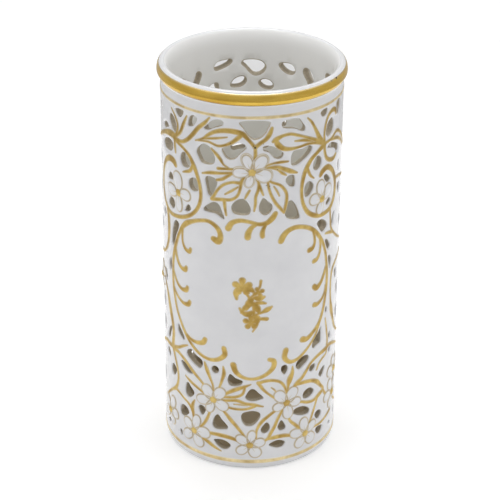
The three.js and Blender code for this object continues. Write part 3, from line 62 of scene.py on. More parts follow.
# Openings pierced through the wall, each a closed outline of [round, up] points in mm
OPENINGS = [
  [[14.0, 125.4], [15.0, 128.4], [18.6, 128.6], [21.2, 129.2], [22.7, 128.4], [22.4, 126.9], [18.8, 124.2],
   [16.4, 123.1], [14.6, 123.3]],
  [[-35.4, 135.1], [-34.9, 136.7], [-33.4, 137.0], [-31.6, 135.9], [-30.5, 133.4], [-30.8, 131.4],
   [-32.3, 130.9], [-34.1, 132.5]],
  [[-41.2, 130.6], [-39.6, 132.0], [-37.5, 132.5], [-35.9, 131.5], [-38.0, 130.5], [-40.2, 129.5]],
  [[-41.3, 123.9], [-38.9, 126.0], [-35.7, 126.9], [-33.1, 126.3], [-32.9, 124.9], [-34.2, 123.0],
   [-38.6, 122.0], [-40.7, 122.4]],
  [[-24.2, 113.6], [-23.8, 115.4], [-22.3, 116.5], [-20.6, 116.4], [-19.7, 115.2], [-19.6, 113.2],
   [-20.6, 111.8], [-22.9, 111.6]],
  [[-37.2, 111.4], [-36.6, 113.2], [-35.0, 114.3], [-33.7, 113.9], [-33.2, 112.5], [-35.0, 111.5]],
  [[30.2, 133.6], [31.5, 135.3], [33.3, 136.0], [34.7, 134.8], [34.9, 132.2], [33.8, 130.3], [31.5, 129.6],
   [30.1, 130.9]],
  [[37.0, 140.2], [38.6, 141.0], [40.6, 140.7], [41.0, 139.0], [40.2, 136.7], [39.1, 135.2], [38.0, 136.2],
   [37.3, 138.3]],
  [[31.2, 125.6], [32.9, 126.5], [35.4, 126.0], [37.8, 124.8], [39.8, 123.4], [39.6, 121.6], [38.3, 121.4],
   [36.6, 123.4], [33.6, 124.6]],
  [[23.5, 121.0], [24.0, 122.9], [25.4, 124.1], [27.0, 123.5], [27.8, 121.9], [27.1, 119.6], [25.8, 118.8],
   [24.2, 119.3]],
  [[29.4, 115.2], [30.5, 115.5], [32.2, 114.4], [33.5, 112.7], [32.5, 112.0], [30.8, 112.7]],
  [[40.2, 117.4], [41.1, 117.0], [41.3, 114.9], [40.4, 113.8], [39.7, 115.5]],
  [[40.0, 107.4], [41.4, 108.5], [43.0, 107.3], [43.0, 105.2], [41.2, 104.3]],
  [[-26.2, 44.8], [-25.4, 46.3], [-23.9, 46.9], [-21.4, 45.4], [-18.8, 44.0], [-18.7, 42.0], [-19.8, 40.5],
   [-23.6, 42.0], [-25.7, 43.6]],
  [[-29.5, 39.9], [-28.0, 40.1], [-25.4, 39.2], [-22.9, 37.3], [-23.6, 36.7], [-25.7, 36.4], [-27.9, 37.5]],
  [[-41.2, 39.0], [-40.2, 40.5], [-38.6, 40.2], [-37.6, 38.7], [-38.9, 37.3]],
  [[-36.8, 33.6], [-35.6, 35.6], [-34.1, 35.6], [-32.8, 34.2], [-33.7, 32.2], [-35.4, 30.8], [-36.5, 31.7]],
  [[-26.7, 31.2], [-25.7, 32.1], [-24.2, 30.7], [-22.6, 28.9], [-23.8, 26.8], [-25.4, 25.9], [-26.9, 26.9],
   [-27.1, 28.8]],
  [[-20.5, 23.6], [-19.6, 24.6], [-18.1, 24.5], [-17.4, 23.2], [-17.9, 21.8], [-18.9, 20.6], [-20.0, 21.9]],
  [[-30.4, 18.8], [-29.5, 20.5], [-27.9, 21.1], [-26.1, 20.4], [-25.4, 19.1], [-26.9, 17.2], [-28.9, 16.0],
   [-30.2, 16.4]],
  [[-31.0, 8.7], [-30.1, 9.4], [-29.4, 8.4], [-29.6, 6.9], [-30.4, 7.3]],
  [[-41.8, 7.7], [-40.7, 8.8], [-39.0, 9.1], [-38.7, 8.2], [-40.4, 7.4]],
  [[-40.0, 45.6], [-39.2, 48.5], [-37.2, 51.0], [-36.2, 51.1], [-36.9, 48.9], [-38.0, 46.2], [-39.1, 45.0]],
  [[-33.6, 94.6], [-31.6, 96.8], [-29.9, 96.2], [-30.1, 94.4], [-31.6, 91.4], [-32.7, 88.4], [-33.7, 86.0],
   [-34.7, 86.3], [-34.8, 88.6]],
  [[-37.5, 76.8], [-36.6, 79.7], [-35.8, 79.9], [-35.7, 76.1], [-36.5, 74.6]],
  [[-43.0, 72.2], [-41.2, 72.9], [-39.9, 70.9], [-39.4, 68.8], [-41.0, 69.4], [-42.6, 70.9]],
  [[-43.0, 97.1], [-41.5, 98.0], [-40.0, 96.7], [-40.9, 94.9], [-42.3, 95.7]],
  [[-31.4, 52.2], [-31.0, 54.8], [-29.6, 53.4], [-27.5, 50.5], [-27.8, 49.4], [-29.6, 50.0]],
  [[26.2, 98.0], [27.7, 98.7], [29.8, 98.0], [31.8, 96.3], [32.2, 94.9], [30.0, 93.4], [28.7, 93.9],
   [27.4, 95.7]],
  [[31.3, 89.5], [32.6, 89.1], [34.3, 87.2], [34.8, 85.7], [33.4, 84.8], [32.3, 86.4]],
  [[33.9, 82.0], [35.2, 81.5], [36.2, 79.9], [35.5, 76.9], [35.0, 76.2], [34.4, 78.6]],
  [[35.4, 93.8], [35.6, 95.8], [36.5, 98.0], [37.9, 98.6], [37.3, 96.6], [36.6, 93.8]],
  [[32.6, 59.4], [33.2, 61.5], [34.0, 60.5], [33.7, 58.9]],
  [[25.3, 48.4], [25.7, 50.3], [28.2, 52.4], [29.9, 54.3], [30.1, 51.7], [29.7, 47.8], [27.8, 47.5],
   [26.0, 46.8]],
  [[36.0, 48.9], [36.8, 49.3], [37.6, 47.2], [37.0, 46.1], [36.1, 47.2]],
  [[39.8, 73.4], [41.4, 74.0], [42.3, 72.2], [41.4, 69.9], [40.0, 70.8]],
  [[-14.6, 42.2], [-13.8, 43.2], [-12.4, 43.1], [-11.8, 42.0], [-12.3, 40.6], [-13.5, 40.2], [-14.5, 41.0]],
  [[-8.3, 37.5], [-8.1, 39.6], [-7.4, 40.9], [-5.4, 39.5], [-2.9, 38.3], [-3.2, 37.0], [-4.9, 36.1],
   [-7.2, 36.0]],
  [[-1.7, 31.4], [-1.0, 33.2], [0.1, 34.8], [1.3, 35.0], [3.3, 33.1], [4.9, 31.1], [3.4, 30.3], [1.1, 29.8],
   [-0.9, 30.3]],
  [[-3.2, 22.9], [-2.7, 24.5], [-1.0, 25.3], [1.1, 25.6], [3.4, 24.8], [3.8, 23.2], [2.6, 20.8], [0.8, 19.2],
   [-1.4, 19.1], [-2.8, 20.8]],
  [[-14.4, 18.0], [-14.1, 19.8], [-13.1, 22.0], [-12.1, 22.7], [-10.8, 21.0], [-8.4, 18.2], [-8.6, 17.1],
   [-10.4, 16.5], [-12.9, 16.2], [-14.0, 16.8]],
  [[4.2, 17.5], [5.1, 19.2], [6.4, 20.3], [7.3, 19.1], [7.5, 17.8], [6.8, 16.3], [5.4, 15.6], [4.4, 16.3]],
  [[10.6, 17.7], [11.2, 19.3], [12.0, 20.3], [12.9, 19.1], [13.7, 17.3], [13.2, 16.2], [11.4, 16.1]],
  [[-13.9, 11.1], [-12.4, 11.8], [-9.9, 11.9], [-8.1, 11.1], [-7.3, 10.0], [-8.2, 8.5], [-9.9, 7.9],
   [-11.8, 8.6], [-13.2, 10.0]],
  [[7.3, 10.4], [8.6, 11.4], [10.4, 11.9], [12.4, 11.4], [13.5, 10.5], [12.8, 9.0], [11.1, 8.5], [9.0, 9.1]],
  [[11.6, 42.4], [12.0, 43.7], [13.6, 43.7], [14.2, 42.1], [12.9, 40.0], [11.9, 41.2]],
  [[17.7, 42.4], [18.5, 44.2], [20.4, 45.3], [22.7, 45.3], [23.6, 44.4], [23.0, 42.9], [20.8, 41.4],
   [19.2, 40.5], [18.1, 41.2]],
  [[24.1, 38.9], [25.0, 40.0], [26.8, 40.0], [27.1, 38.7], [25.6, 37.4], [24.4, 37.8]],
  [[29.5, 34.3], [30.8, 35.8], [33.0, 36.4], [33.3, 35.4], [32.4, 33.6], [31.2, 32.5], [30.1, 33.2]],
  [[35.9, 41.4], [36.9, 42.4], [38.3, 42.1], [37.7, 41.0], [36.7, 40.4]],
  [[21.2, 28.9], [21.9, 30.0], [24.2, 30.6], [26.0, 29.6], [26.8, 28.5], [25.8, 27.2], [22.7, 26.6],
   [21.4, 27.4]],
  [[16.6, 22.4], [17.6, 23.7], [19.7, 24.0], [22.2, 23.3], [24.5, 21.3], [24.2, 19.9], [22.2, 19.7],
   [19.4, 20.5], [17.6, 21.5]],
  [[27.7, 17.6], [29.0, 18.4], [30.6, 18.1], [31.8, 16.8], [31.0, 15.3], [29.7, 14.7], [28.3, 15.9]],
  [[28.5, 10.8], [31.0, 10.9], [32.7, 10.1], [32.1, 8.5], [30.4, 7.7], [29.0, 8.7]],
  [[37.7, 8.2], [38.6, 8.8], [39.9, 8.2], [39.2, 7.6]],
  [[-46.8, 137.6], [-44.6, 138.4], [-43.4, 136.4], [-45.2, 134.9], [-46.9, 135.8]],
  [[44.8, 136.2], [46.8, 136.9], [48.4, 135.2], [47.0, 133.0], [45.2, 134.0]],
  [[-47.4, 117.6], [-45.6, 118.6], [-44.2, 116.9], [-45.0, 113.8], [-46.8, 114.6]],
  [[-47.6, 106.9], [-45.6, 107.6], [-44.6, 105.4], [-45.8, 103.0], [-47.4, 104.4]],
  [[44.9, 100.6], [46.8, 101.4], [48.2, 99.4], [46.6, 97.4], [45.0, 98.4]],
  [[-47.6, 91.6], [-45.4, 92.8], [-43.6, 91.0], [-44.6, 88.6], [-47.0, 88.9]],
  [[43.6, 93.4], [45.4, 94.2], [47.2, 92.6], [46.4, 90.0], [44.2, 90.4]],
  [[42.6, 66.2], [44.6, 67.2], [45.8, 65.0], [45.0, 61.6], [43.2, 62.6]],
  [[-46.0, 61.4], [-44.2, 62.8], [-42.8, 60.2], [-43.4, 56.6], [-45.6, 57.8]],
  [[-45.4, 51.2], [-43.6, 52.4], [-42.6, 50.2], [-43.2, 47.2], [-45.0, 48.0]],
  [[42.6, 56.2], [44.4, 57.4], [45.8, 55.2], [45.0, 51.8], [43.2, 52.6]],
  [[-48.0, 27.6], [-45.8, 29.2], [-44.2, 27.4], [-44.8, 24.6], [-47.2, 24.9]],
  [[44.6, 35.6], [46.6, 36.6], [48.0, 34.4], [46.8, 31.8], [44.8, 32.6]],
  [[-47.8, 10.2], [-45.6, 11.4], [-44.6, 9.4], [-46.0, 7.6], [-47.6, 8.3]],
  [[44.2, 10.6], [46.4, 11.4], [47.6, 9.6], [46.2, 7.8], [44.4, 8.6]],
]
# Openings of the front alone
FRONT_OPENINGS = [
  [[-17.2, 136.4], [-15.6, 138.2], [-13.8, 139.9], [-11.4, 140.5], [-9.9, 139.8], [-10.3, 138.6],
   [-13.2, 137.3], [-15.6, 136.1]],
  [[-4.3, 140.2], [6.3, 140.2], [5.5, 137.5], [4.0, 135.2], [2.3, 134.1], [0.6, 133.9], [-0.8, 135.0],
   [-2.7, 137.7]],
  [[10.7, 139.8], [12.2, 140.4], [16.8, 140.2], [18.3, 138.6], [19.6, 136.2], [18.9, 135.2], [15.6, 136.7],
   [10.8, 138.0]],
  [[-10.4, 129.7], [-9.2, 131.0], [-7.0, 131.6], [-4.9, 132.5], [-2.9, 132.4], [-1.8, 131.1], [-3.9, 128.7],
   [-6.0, 126.5], [-8.2, 126.3], [-9.7, 127.8]],
  [[3.9, 131.2], [5.4, 131.7], [7.2, 131.3], [10.0, 129.4], [11.2, 128.3], [10.7, 126.9], [9.4, 126.4],
   [8.0, 126.9], [6.0, 129.1], [4.2, 129.9]],
  [[-20.4, 127.2], [-19.2, 129.2], [-17.2, 130.6], [-14.9, 129.8], [-13.4, 127.2], [-13.1, 124.8],
   [-14.4, 123.4], [-18.2, 123.3], [-19.5, 125.0]],
  [[-16.8, 117.8], [-16.0, 118.7], [-13.2, 118.5], [-12.2, 117.0], [-13.4, 113.6], [-14.6, 111.4],
   [-15.6, 111.8], [-16.4, 114.8]],
  [[12.2, 118.4], [13.3, 119.6], [15.2, 119.4], [15.7, 117.8], [15.5, 115.3], [14.7, 115.1], [12.8, 116.6]],
  [[-17.6, 106.0], [-15.6, 108.1], [-13.3, 109.4], [-11.7, 108.8], [-10.6, 106.5], [-9.7, 103.4],
   [-12.8, 104.9], [-17.2, 105.3]],
  [[-6.9, 108.6], [-5.8, 110.6], [-3.1, 111.8], [-1.4, 110.6], [-0.2, 107.6], [-1.0, 105.8], [-5.8, 105.8],
   [-6.8, 107.0]],
  [[4.2, 112.1], [5.6, 110.9], [7.3, 109.2], [7.4, 107.7], [6.3, 106.0], [4.7, 105.4], [3.2, 106.6],
   [2.7, 108.6]],
  [[13.2, 109.6], [14.3, 110.0], [15.6, 108.8], [16.9, 106.4], [17.8, 102.5], [13.6, 103.1], [12.2, 104.8]],
  [[-31.1, 139.8], [-29.8, 140.3], [-26.5, 140.2], [-27.3, 138.4], [-28.6, 137.4], [-30.0, 138.0]],
  [[-24.1, 135.6], [-24.0, 137.4], [-23.1, 139.4], [-21.4, 140.0], [-20.2, 139.3], [-21.0, 137.2],
   [-22.4, 135.9]],
  [[-28.4, 122.4], [-27.6, 124.4], [-26.1, 125.0], [-24.6, 124.3], [-23.3, 122.2], [-23.6, 120.6],
   [-25.0, 119.5], [-27.4, 119.6]],
  [[-36.8, 101.6], [-36.3, 103.6], [-34.6, 104.8], [-32.9, 104.4], [-32.2, 102.8], [-33.0, 101.1],
   [-34.8, 100.6]],
  [[-26.1, 102.6], [-25.6, 104.4], [-24.3, 105.6], [-23.2, 104.5], [-24.2, 103.1]],
  [[26.7, 140.1], [28.6, 140.7], [30.4, 140.5], [30.2, 138.9], [28.9, 138.0], [27.5, 138.5]],
  [[19.8, 112.9], [20.2, 114.5], [21.2, 115.5], [22.6, 115.2], [23.9, 113.6], [23.4, 111.8], [21.7, 110.0],
   [20.3, 110.0]],
  [[31.0, 104.2], [32.6, 105.5], [34.0, 105.0], [34.0, 104.0], [31.7, 103.2]],
]
# Openings that stand in their place on the back, seen from the front through the vase
BACK_OPENINGS = [
  [[4.8, 137.0], [4.3, 138.3], [2.6, 139.3], [-2.8, 139.3], [-3.5, 138.5], [-2.3, 137.3], [-0.5, 135.2],
   [0.8, 134.2], [2.1, 134.2], [3.8, 135.2]],
  [[-15.3, 138.1], [-14.3, 139.3], [-11.6, 139.9], [-9.0, 139.8], [-9.5, 138.9], [-11.6, 137.8],
   [-13.5, 137.2], [-15.0, 137.1]],
  [[11.9, 138.6], [13.2, 139.1], [15.8, 139.2], [17.2, 138.4], [17.7, 137.0], [16.8, 136.0], [14.8, 136.0],
   [13.0, 137.0]],
  [[-8.2, 130.0], [-7.4, 131.6], [-5.7, 132.7], [-3.6, 132.9], [-3.0, 131.8], [-3.8, 130.4], [-5.8, 129.6]],
  [[8.2, 130.2], [7.3, 131.4], [5.4, 132.0], [4.0, 131.6], [3.4, 130.7], [4.4, 129.5], [6.0, 128.9],
   [7.6, 129.1]],
  [[-20.4, 127.2], [-19.2, 129.2], [-17.0, 131.0], [-15.0, 131.2], [-14.7, 129.4], [-13.6, 127.0],
   [-13.3, 124.8], [-14.4, 123.4], [-18.2, 123.3], [-19.5, 125.0]],
  [[24.9, 134.8], [23.1, 137.6], [23.7, 138.9], [25.4, 138.7], [27.4, 136.2], [27.5, 132.8], [26.5, 132.4]],
  [[-25.9, 133.0], [-25.2, 135.6], [-24.0, 137.4], [-22.8, 136.6], [-23.4, 134.4], [-24.8, 132.6]],
  [[12.0, 118.4], [13.0, 119.4], [14.0, 119.0], [14.1, 117.0], [13.9, 115.2], [13.2, 114.8], [12.3, 116.4]],
  [[-16.6, 105.6], [-15.4, 107.9], [-13.8, 108.8], [-12.7, 107.8], [-12.9, 106.0], [-14.8, 105.3]],
  [[-8.0, 105.8], [-7.2, 107.8], [-5.6, 109.0], [-4.2, 108.0], [-3.1, 106.4], [-3.4, 105.1], [-5.4, 104.6],
   [-7.6, 104.4]],
  [[3.6, 106.6], [4.8, 107.4], [6.3, 106.9], [6.6, 105.9], [5.2, 104.9], [3.9, 105.3]],
  [[13.4, 107.2], [14.6, 109.2], [15.8, 108.2], [16.2, 105.4], [15.9, 103.2], [14.9, 102.6], [13.8, 104.0]],
  [[19.9, 111.3], [20.2, 112.9], [21.2, 113.6], [22.4, 113.2], [22.7, 111.9], [21.8, 110.4], [20.6, 109.6]],
  [[-28.8, 123.2], [-28.2, 125.2], [-26.9, 125.9], [-25.3, 124.9], [-24.6, 123.0], [-25.6, 121.8],
   [-27.6, 121.6]],
]
# Where strokes meet in the middle of a flower, as [round, up, width]
TOP_HUB = [0.2, 122.3, 0.8]
LEFT_HUB = [-13.8, 29.0, 0.8]
RIGHT_HUB = [13.8, 27.8, 0.8]
LOW_LEFT_HUB = [-22.4, 12.6, 0.8]
LOW_RIGHT_HUB = [22.2, 11.7, 0.8]
# Gilded brush strokes, each a line of [round, up, width] points in mm
FRAME_LEFT = [
  [[-13.5, 95.2, 2.2], [-11.8, 94.6, 2.6], [-10.9, 96.6, 2.0], [-12.0, 99.6, 1.7], [-15.2, 101.6, 1.4],
   [-18.6, 101.2, 1.3], [-22.0, 99.9, 1.4], [-25.2, 98.1, 1.9], [-27.6, 95.6, 1.6], [-29.4, 92.6, 1.3],
   [-31.1, 88.8, 1.5], [-32.6, 84.6, 1.7], [-33.7, 80.2, 1.5], [-34.0, 75.4, 1.4], [-33.9, 70.6, 1.4],
   [-33.0, 65.6, 1.3], [-31.6, 61.0, 1.2], [-29.4, 57.0, 1.2], [-26.8, 53.2, 1.3], [-23.6, 49.6, 1.3],
   [-19.8, 46.9, 1.2], [-15.4, 45.7, 1.3], [-11.8, 46.6, 1.6], [-9.4, 49.0, 1.9], [-9.7, 51.6, 1.8]],
  [[-27.4, 95.8, 1.2], [-27.6, 92.6, 1.0], [-27.4, 89.8, 1.0], [-26.0, 87.6, 1.4], [-24.0, 87.2, 1.6],
   [-23.4, 88.4, 1.3]],
  [[-32.0, 86.4, 1.2], [-31.4, 83.4, 1.3], [-30.1, 80.5, 1.4], [-28.0, 79.0, 1.6], [-26.2, 79.2, 1.9],
   [-25.7, 80.2, 1.5]],
  [[-34.0, 77.0, 1.0], [-32.8, 74.4, 1.1], [-30.5, 71.5, 1.3], [-28.0, 70.5, 1.5], [-25.8, 71.1, 1.8],
   [-25.2, 72.3, 1.5]],
  [[-34.0, 70.4, 1.0], [-32.6, 68.0, 1.1], [-30.0, 66.0, 1.1], [-27.2, 65.0, 1.4], [-24.8, 65.6, 1.8],
   [-24.1, 66.8, 1.5]],
  [[-26.4, 52.8, 1.2], [-23.4, 51.4, 1.3], [-20.4, 51.2, 1.5], [-18.0, 52.1, 1.9], [-17.2, 53.6, 1.8]],
]
FRAME_RIGHT = [
  [[10.7, 95.0, 2.2], [11.6, 96.9, 2.2], [13.4, 98.6, 1.9], [16.0, 99.3, 1.7], [19.4, 98.7, 1.5],
   [22.6, 97.2, 1.5], [25.2, 95.0, 1.6], [27.4, 92.4, 1.5], [29.6, 89.0, 1.3], [31.2, 85.0, 1.3],
   [32.2, 80.4, 1.5], [32.8, 75.4, 1.5], [32.7, 70.4, 1.6], [31.9, 65.4, 1.5], [30.6, 60.8, 1.5],
   [28.6, 57.0, 1.6], [25.4, 54.2, 1.6], [22.0, 52.4, 2.0], [20.2, 52.9, 2.4]],
  [[24.0, 95.8, 1.0], [24.8, 93.0, 1.1], [24.9, 90.6, 1.2], [23.9, 88.9, 1.7], [22.4, 88.6, 2.0]],
  [[27.8, 91.4, 1.1], [28.1, 88.2, 1.1], [27.6, 85.4, 1.2], [26.2, 83.6, 1.6], [24.8, 83.4, 1.8]],
  [[32.1, 79.0, 1.2], [30.6, 75.8, 1.5], [28.8, 73.2, 1.7], [26.6, 72.0, 2.3], [25.2, 73.0, 2.0]],
  [[32.2, 71.0, 1.0], [31.4, 68.0, 1.2], [29.4, 65.9, 1.3], [27.0, 65.0, 1.7], [25.5, 65.4, 1.9]],
  [[29.0, 57.2, 1.0], [27.0, 53.0, 0.9], [24.4, 50.0, 0.9], [21.4, 47.4, 1.1], [17.8, 45.2, 1.3],
   [14.8, 45.0, 1.5], [12.8, 47.2, 1.9], [13.2, 50.2, 2.2]],
]
FRAME_TOP = [
  [[-8.1, 100.2, 2.2], [-6.7, 102.5, 1.8], [-3.8, 103.6, 1.5], [-0.6, 103.2, 1.3], [2.6, 102.3, 1.4],
   [5.4, 102.6, 1.7], [7.6, 104.5, 2.0], [8.5, 106.0, 1.7]],
  [[2.0, 102.4, 1.2], [0.2, 101.0, 1.5], [-1.0, 98.8, 2.1], [-1.2, 97.2, 2.2]],
  [[5.2, 102.4, 1.1], [4.3, 100.4, 1.3], [3.9, 98.6, 1.7], [4.0, 97.5, 1.6]],
]
FRAME_BOTTOM = [
  [[-6.2, 45.2, 2.2], [-5.4, 42.6, 1.9], [-3.4, 40.6, 1.4], [-0.4, 39.6, 1.1], [3.0, 39.9, 1.3],
   [6.4, 41.6, 1.5], [8.6, 44.2, 1.8], [8.6, 46.6, 1.8], [7.0, 47.4, 1.5]],
]
CROWN = [
  [[-20.6, 131.2, 0.4], [-17.4, 132.7, 0.8], [-15.3, 134.5, 1.1], [-13.1, 135.9, 1.3], [-10.3, 136.8, 1.6],
   [-6.7, 137.0, 1.8], [-3.1, 136.2, 1.8], [-1.5, 134.6, 1.3], [0.1, 132.7, 1.1], [1.2, 131.3, 1.4]],
  [[1.2, 131.3, 1.3], [3.0, 132.9, 1.3], [4.9, 134.3, 1.4], [6.2, 136.2, 1.5], [6.9, 138.2, 1.0]],
  [[1.2, 131.3, 1.0], [1.3, 128.5, 1.1], [0.9, 126.0, 0.8], [0.3, 122.3, 0.8]],
  [[-19.6, 131.5, 0.5], [-15.5, 131.9, 0.7], [-11.7, 131.0, 0.8], [-9.2, 131.6, 0.9], [-6.7, 132.9, 1.2],
   [-4.6, 134.7, 1.5], [-3.3, 136.0, 1.4]],
  [[-14.2, 129.6, 0.5], [-12.3, 127.8, 1.1], [-10.8, 126.0, 1.1], [-9.8, 124.4, 0.6], [-8.0, 123.2, 0.6]],
  [[-11.7, 122.6, 1.1], [-9.0, 122.8, 0.9], [-5.0, 122.9, 0.8], TOP_HUB],
  [[-17.8, 119.6, 0.5], [-14.5, 120.5, 1.2], [-11.0, 120.9, 1.0], [-6.5, 121.6, 0.8], TOP_HUB],
  [[-12.1, 118.2, 0.9], [-10.2, 118.8, 1.1], [-8.4, 120.1, 1.0], [-6.4, 121.5, 0.8]],
  [TOP_HUB, [-2.9, 119.6, 1.0], [-3.7, 118.1, 1.2], [-6.6, 118.0, 0.9], [-9.6, 116.8, 0.9],
   [-11.8, 114.6, 0.9], [-13.2, 112.2, 1.0], [-14.1, 110.7, 1.3]],
  [[-13.9, 110.6, 1.3], [-10.5, 111.0, 1.2], [-7.0, 111.4, 1.0], [-5.0, 112.8, 0.9], [-4.0, 115.2, 0.9],
   [-3.6, 118.1, 1.2]],
  [[-9.5, 111.0, 1.2], [-9.3, 108.5, 1.0], [-8.8, 105.2, 0.6]],
  [TOP_HUB, [2.4, 118.4, 0.9], [2.4, 115.6, 1.0], [1.5, 112.8, 0.9], [1.4, 110.0, 0.9], [1.0, 107.4, 0.5]],
  [[2.4, 118.0, 0.8], [3.2, 115.8, 0.9], [4.1, 113.4, 0.5]],
  [TOP_HUB, [5.0, 119.6, 0.8], [7.0, 118.1, 0.8], [10.2, 116.5, 0.9], [12.3, 113.5, 1.0], [12.5, 110.3, 1.1],
   [12.0, 107.8, 1.0], [11.6, 105.9, 0.7]],
  [[5.6, 118.9, 0.8], [6.0, 116.0, 0.8], [6.9, 113.2, 0.9], [8.6, 109.9, 1.0], [10.6, 107.3, 1.0],
   [11.6, 105.9, 0.7]],
  [TOP_HUB, [4.0, 124.0, 0.7], [7.0, 125.0, 0.6], [10.0, 125.3, 1.0], [12.8, 125.2, 0.6]],
  [TOP_HUB, [4.6, 123.4, 0.8], [8.6, 123.7, 1.0], [11.5, 122.5, 1.5], [14.2, 121.2, 1.5],
   [16.4, 120.3, 0.5]],
  [[6.6, 123.6, 0.7], [9.0, 122.6, 0.6], [10.8, 121.1, 1.0], [12.2, 120.1, 0.4]],
]
LEFT_VINE = [
  [[-33.0, 129.4, 2.0], [-29.8, 127.9, 1.5], [-26.5, 126.6, 1.2], [-23.6, 124.7, 1.3], [-21.6, 121.6, 1.7],
   [-19.9, 117.7, 1.4], [-18.8, 113.8, 1.3], [-18.6, 110.0, 1.3], [-19.7, 106.1, 1.3], [-22.2, 102.8, 1.3],
   [-26.0, 100.3, 1.4], [-30.8, 98.8, 1.4], [-35.2, 98.5, 1.5], [-39.3, 100.5, 1.5], [-41.9, 104.6, 1.4],
   [-42.2, 109.6, 1.4], [-41.0, 114.2, 1.5], [-38.4, 117.9, 1.8], [-35.2, 119.7, 2.3], [-32.2, 119.6, 2.6],
   [-31.2, 118.6, 2.0]],
  [[-21.9, 121.4, 1.2], [-23.3, 119.0, 1.2], [-25.2, 118.1, 0.9], [-26.9, 117.4, 0.4]],
  [[-31.4, 128.8, 1.2], [-31.3, 125.7, 1.1], [-31.0, 123.4, 0.7]],
  [[-31.6, 129.2, 1.4], [-29.9, 131.4, 1.0], [-29.4, 134.2, 0.9], [-30.8, 137.0, 0.8], [-33.2, 139.3, 0.5]],
  [[-31.0, 129.6, 1.4], [-28.1, 132.0, 1.2], [-26.4, 135.4, 1.3], [-24.6, 139.0, 0.6]],
  [[-31.4, 128.8, 1.4], [-27.2, 128.8, 1.2], [-24.3, 130.5, 1.4], [-21.9, 133.0, 1.5], [-19.3, 136.2, 1.4],
   [-16.7, 138.6, 1.2], [-14.9, 140.8, 0.5]],
  [[-30.8, 129.6, 1.6], [-33.4, 129.6, 2.6], [-37.0, 129.0, 1.9], [-40.8, 127.6, 1.4], [-44.4, 125.8, 1.4],
   [-48.4, 123.6, 0.9]],
  [[-38.2, 99.8, 1.4], [-37.2, 96.4, 1.9], [-36.8, 91.4, 2.0], [-37.5, 86.6, 1.5], [-39.8, 82.2, 1.2],
   [-43.6, 79.4, 1.0], [-48.2, 78.2, 0.5]],
]
RIGHT_VINE = [
  [[28.8, 127.6, 2.2], [25.6, 125.9, 1.6], [22.6, 124.0, 1.6], [20.3, 121.0, 1.8], [18.9, 117.2, 1.5],
   [18.4, 112.4, 1.2], [19.2, 107.6, 1.3], [21.5, 103.7, 1.6], [25.2, 101.4, 1.7], [29.6, 100.6, 1.6],
   [33.8, 101.5, 1.8], [36.6, 104.6, 1.8], [37.3, 108.6, 1.7], [36.4, 112.8, 1.8], [33.9, 116.4, 1.8],
   [30.8, 118.2, 2.1], [28.1, 117.4, 2.2], [27.2, 116.4, 1.7]],
  [[20.6, 120.8, 1.3], [22.2, 117.7, 0.9], [23.8, 116.3, 0.4]],
  [[28.6, 128.2, 1.6], [26.1, 130.9, 1.8], [24.6, 133.6, 1.4], [23.3, 136.0, 1.0], [22.1, 137.9, 0.9],
   [20.3, 139.8, 0.4]],
  [[28.9, 128.2, 1.0], [28.7, 131.6, 0.9], [29.3, 134.9, 1.0], [30.8, 137.6, 1.1], [33.3, 138.9, 1.6],
   [35.6, 138.3, 1.6], [36.3, 136.7, 0.9]],
  [[28.8, 127.8, 1.2], [33.0, 128.2, 1.0], [37.3, 129.7, 1.2], [41.2, 127.9, 1.1], [45.0, 124.5, 1.0],
   [48.6, 120.6, 0.5]],
  [[33.0, 128.0, 1.0], [37.5, 127.0, 1.2], [41.6, 125.0, 1.0], [45.6, 121.6, 0.5]],
  [[28.9, 127.6, 1.4], [29.2, 124.6, 1.2], [30.4, 121.9, 1.3], [32.7, 120.4, 1.5], [35.3, 120.1, 1.6],
   [37.0, 121.0, 1.2]],
  [[36.9, 111.6, 1.2], [40.4, 111.2, 1.1], [44.0, 110.2, 1.0], [48.2, 109.0, 0.5]],
  [[28.8, 127.8, 1.8], [25.2, 130.1, 1.4], [22.0, 131.7, 1.2], [19.0, 133.2, 0.8], [16.6, 134.2, 0.9],
   [13.6, 135.2, 1.0], [10.8, 135.0, 1.1], [8.2, 133.8, 1.6], [7.4, 133.2, 1.0]],
  [[8.2, 133.6, 1.3], [9.2, 131.7, 2.0], [11.2, 130.2, 1.6], [14.0, 129.7, 1.2], [17.0, 129.8, 0.9],
   [20.6, 130.1, 0.9], [24.6, 129.5, 1.1], [28.6, 127.9, 1.3]],
  [[33.6, 101.8, 1.0], [34.2, 97.2, 0.9], [34.9, 93.0, 0.9], [37.8, 89.6, 0.9], [42.0, 86.4, 0.9],
   [46.6, 84.0, 0.5]],
  [[31.0, 92.2, 0.6], [34.4, 91.4, 1.2], [36.4, 90.6, 0.9]],
]
SIDE_SCROLL = [
  [[48.0, 78.8, 0.5], [44.4, 78.2, 0.9], [40.4, 77.0, 1.2], [37.4, 75.2, 1.4], [36.2, 71.8, 1.1],
   [36.0, 67.2, 1.0], [36.4, 62.6, 1.3], [37.4, 58.4, 2.4], [39.2, 53.8, 1.5], [41.4, 49.4, 1.2],
   [44.8, 46.2, 1.1], [48.6, 44.2, 0.5]],
]
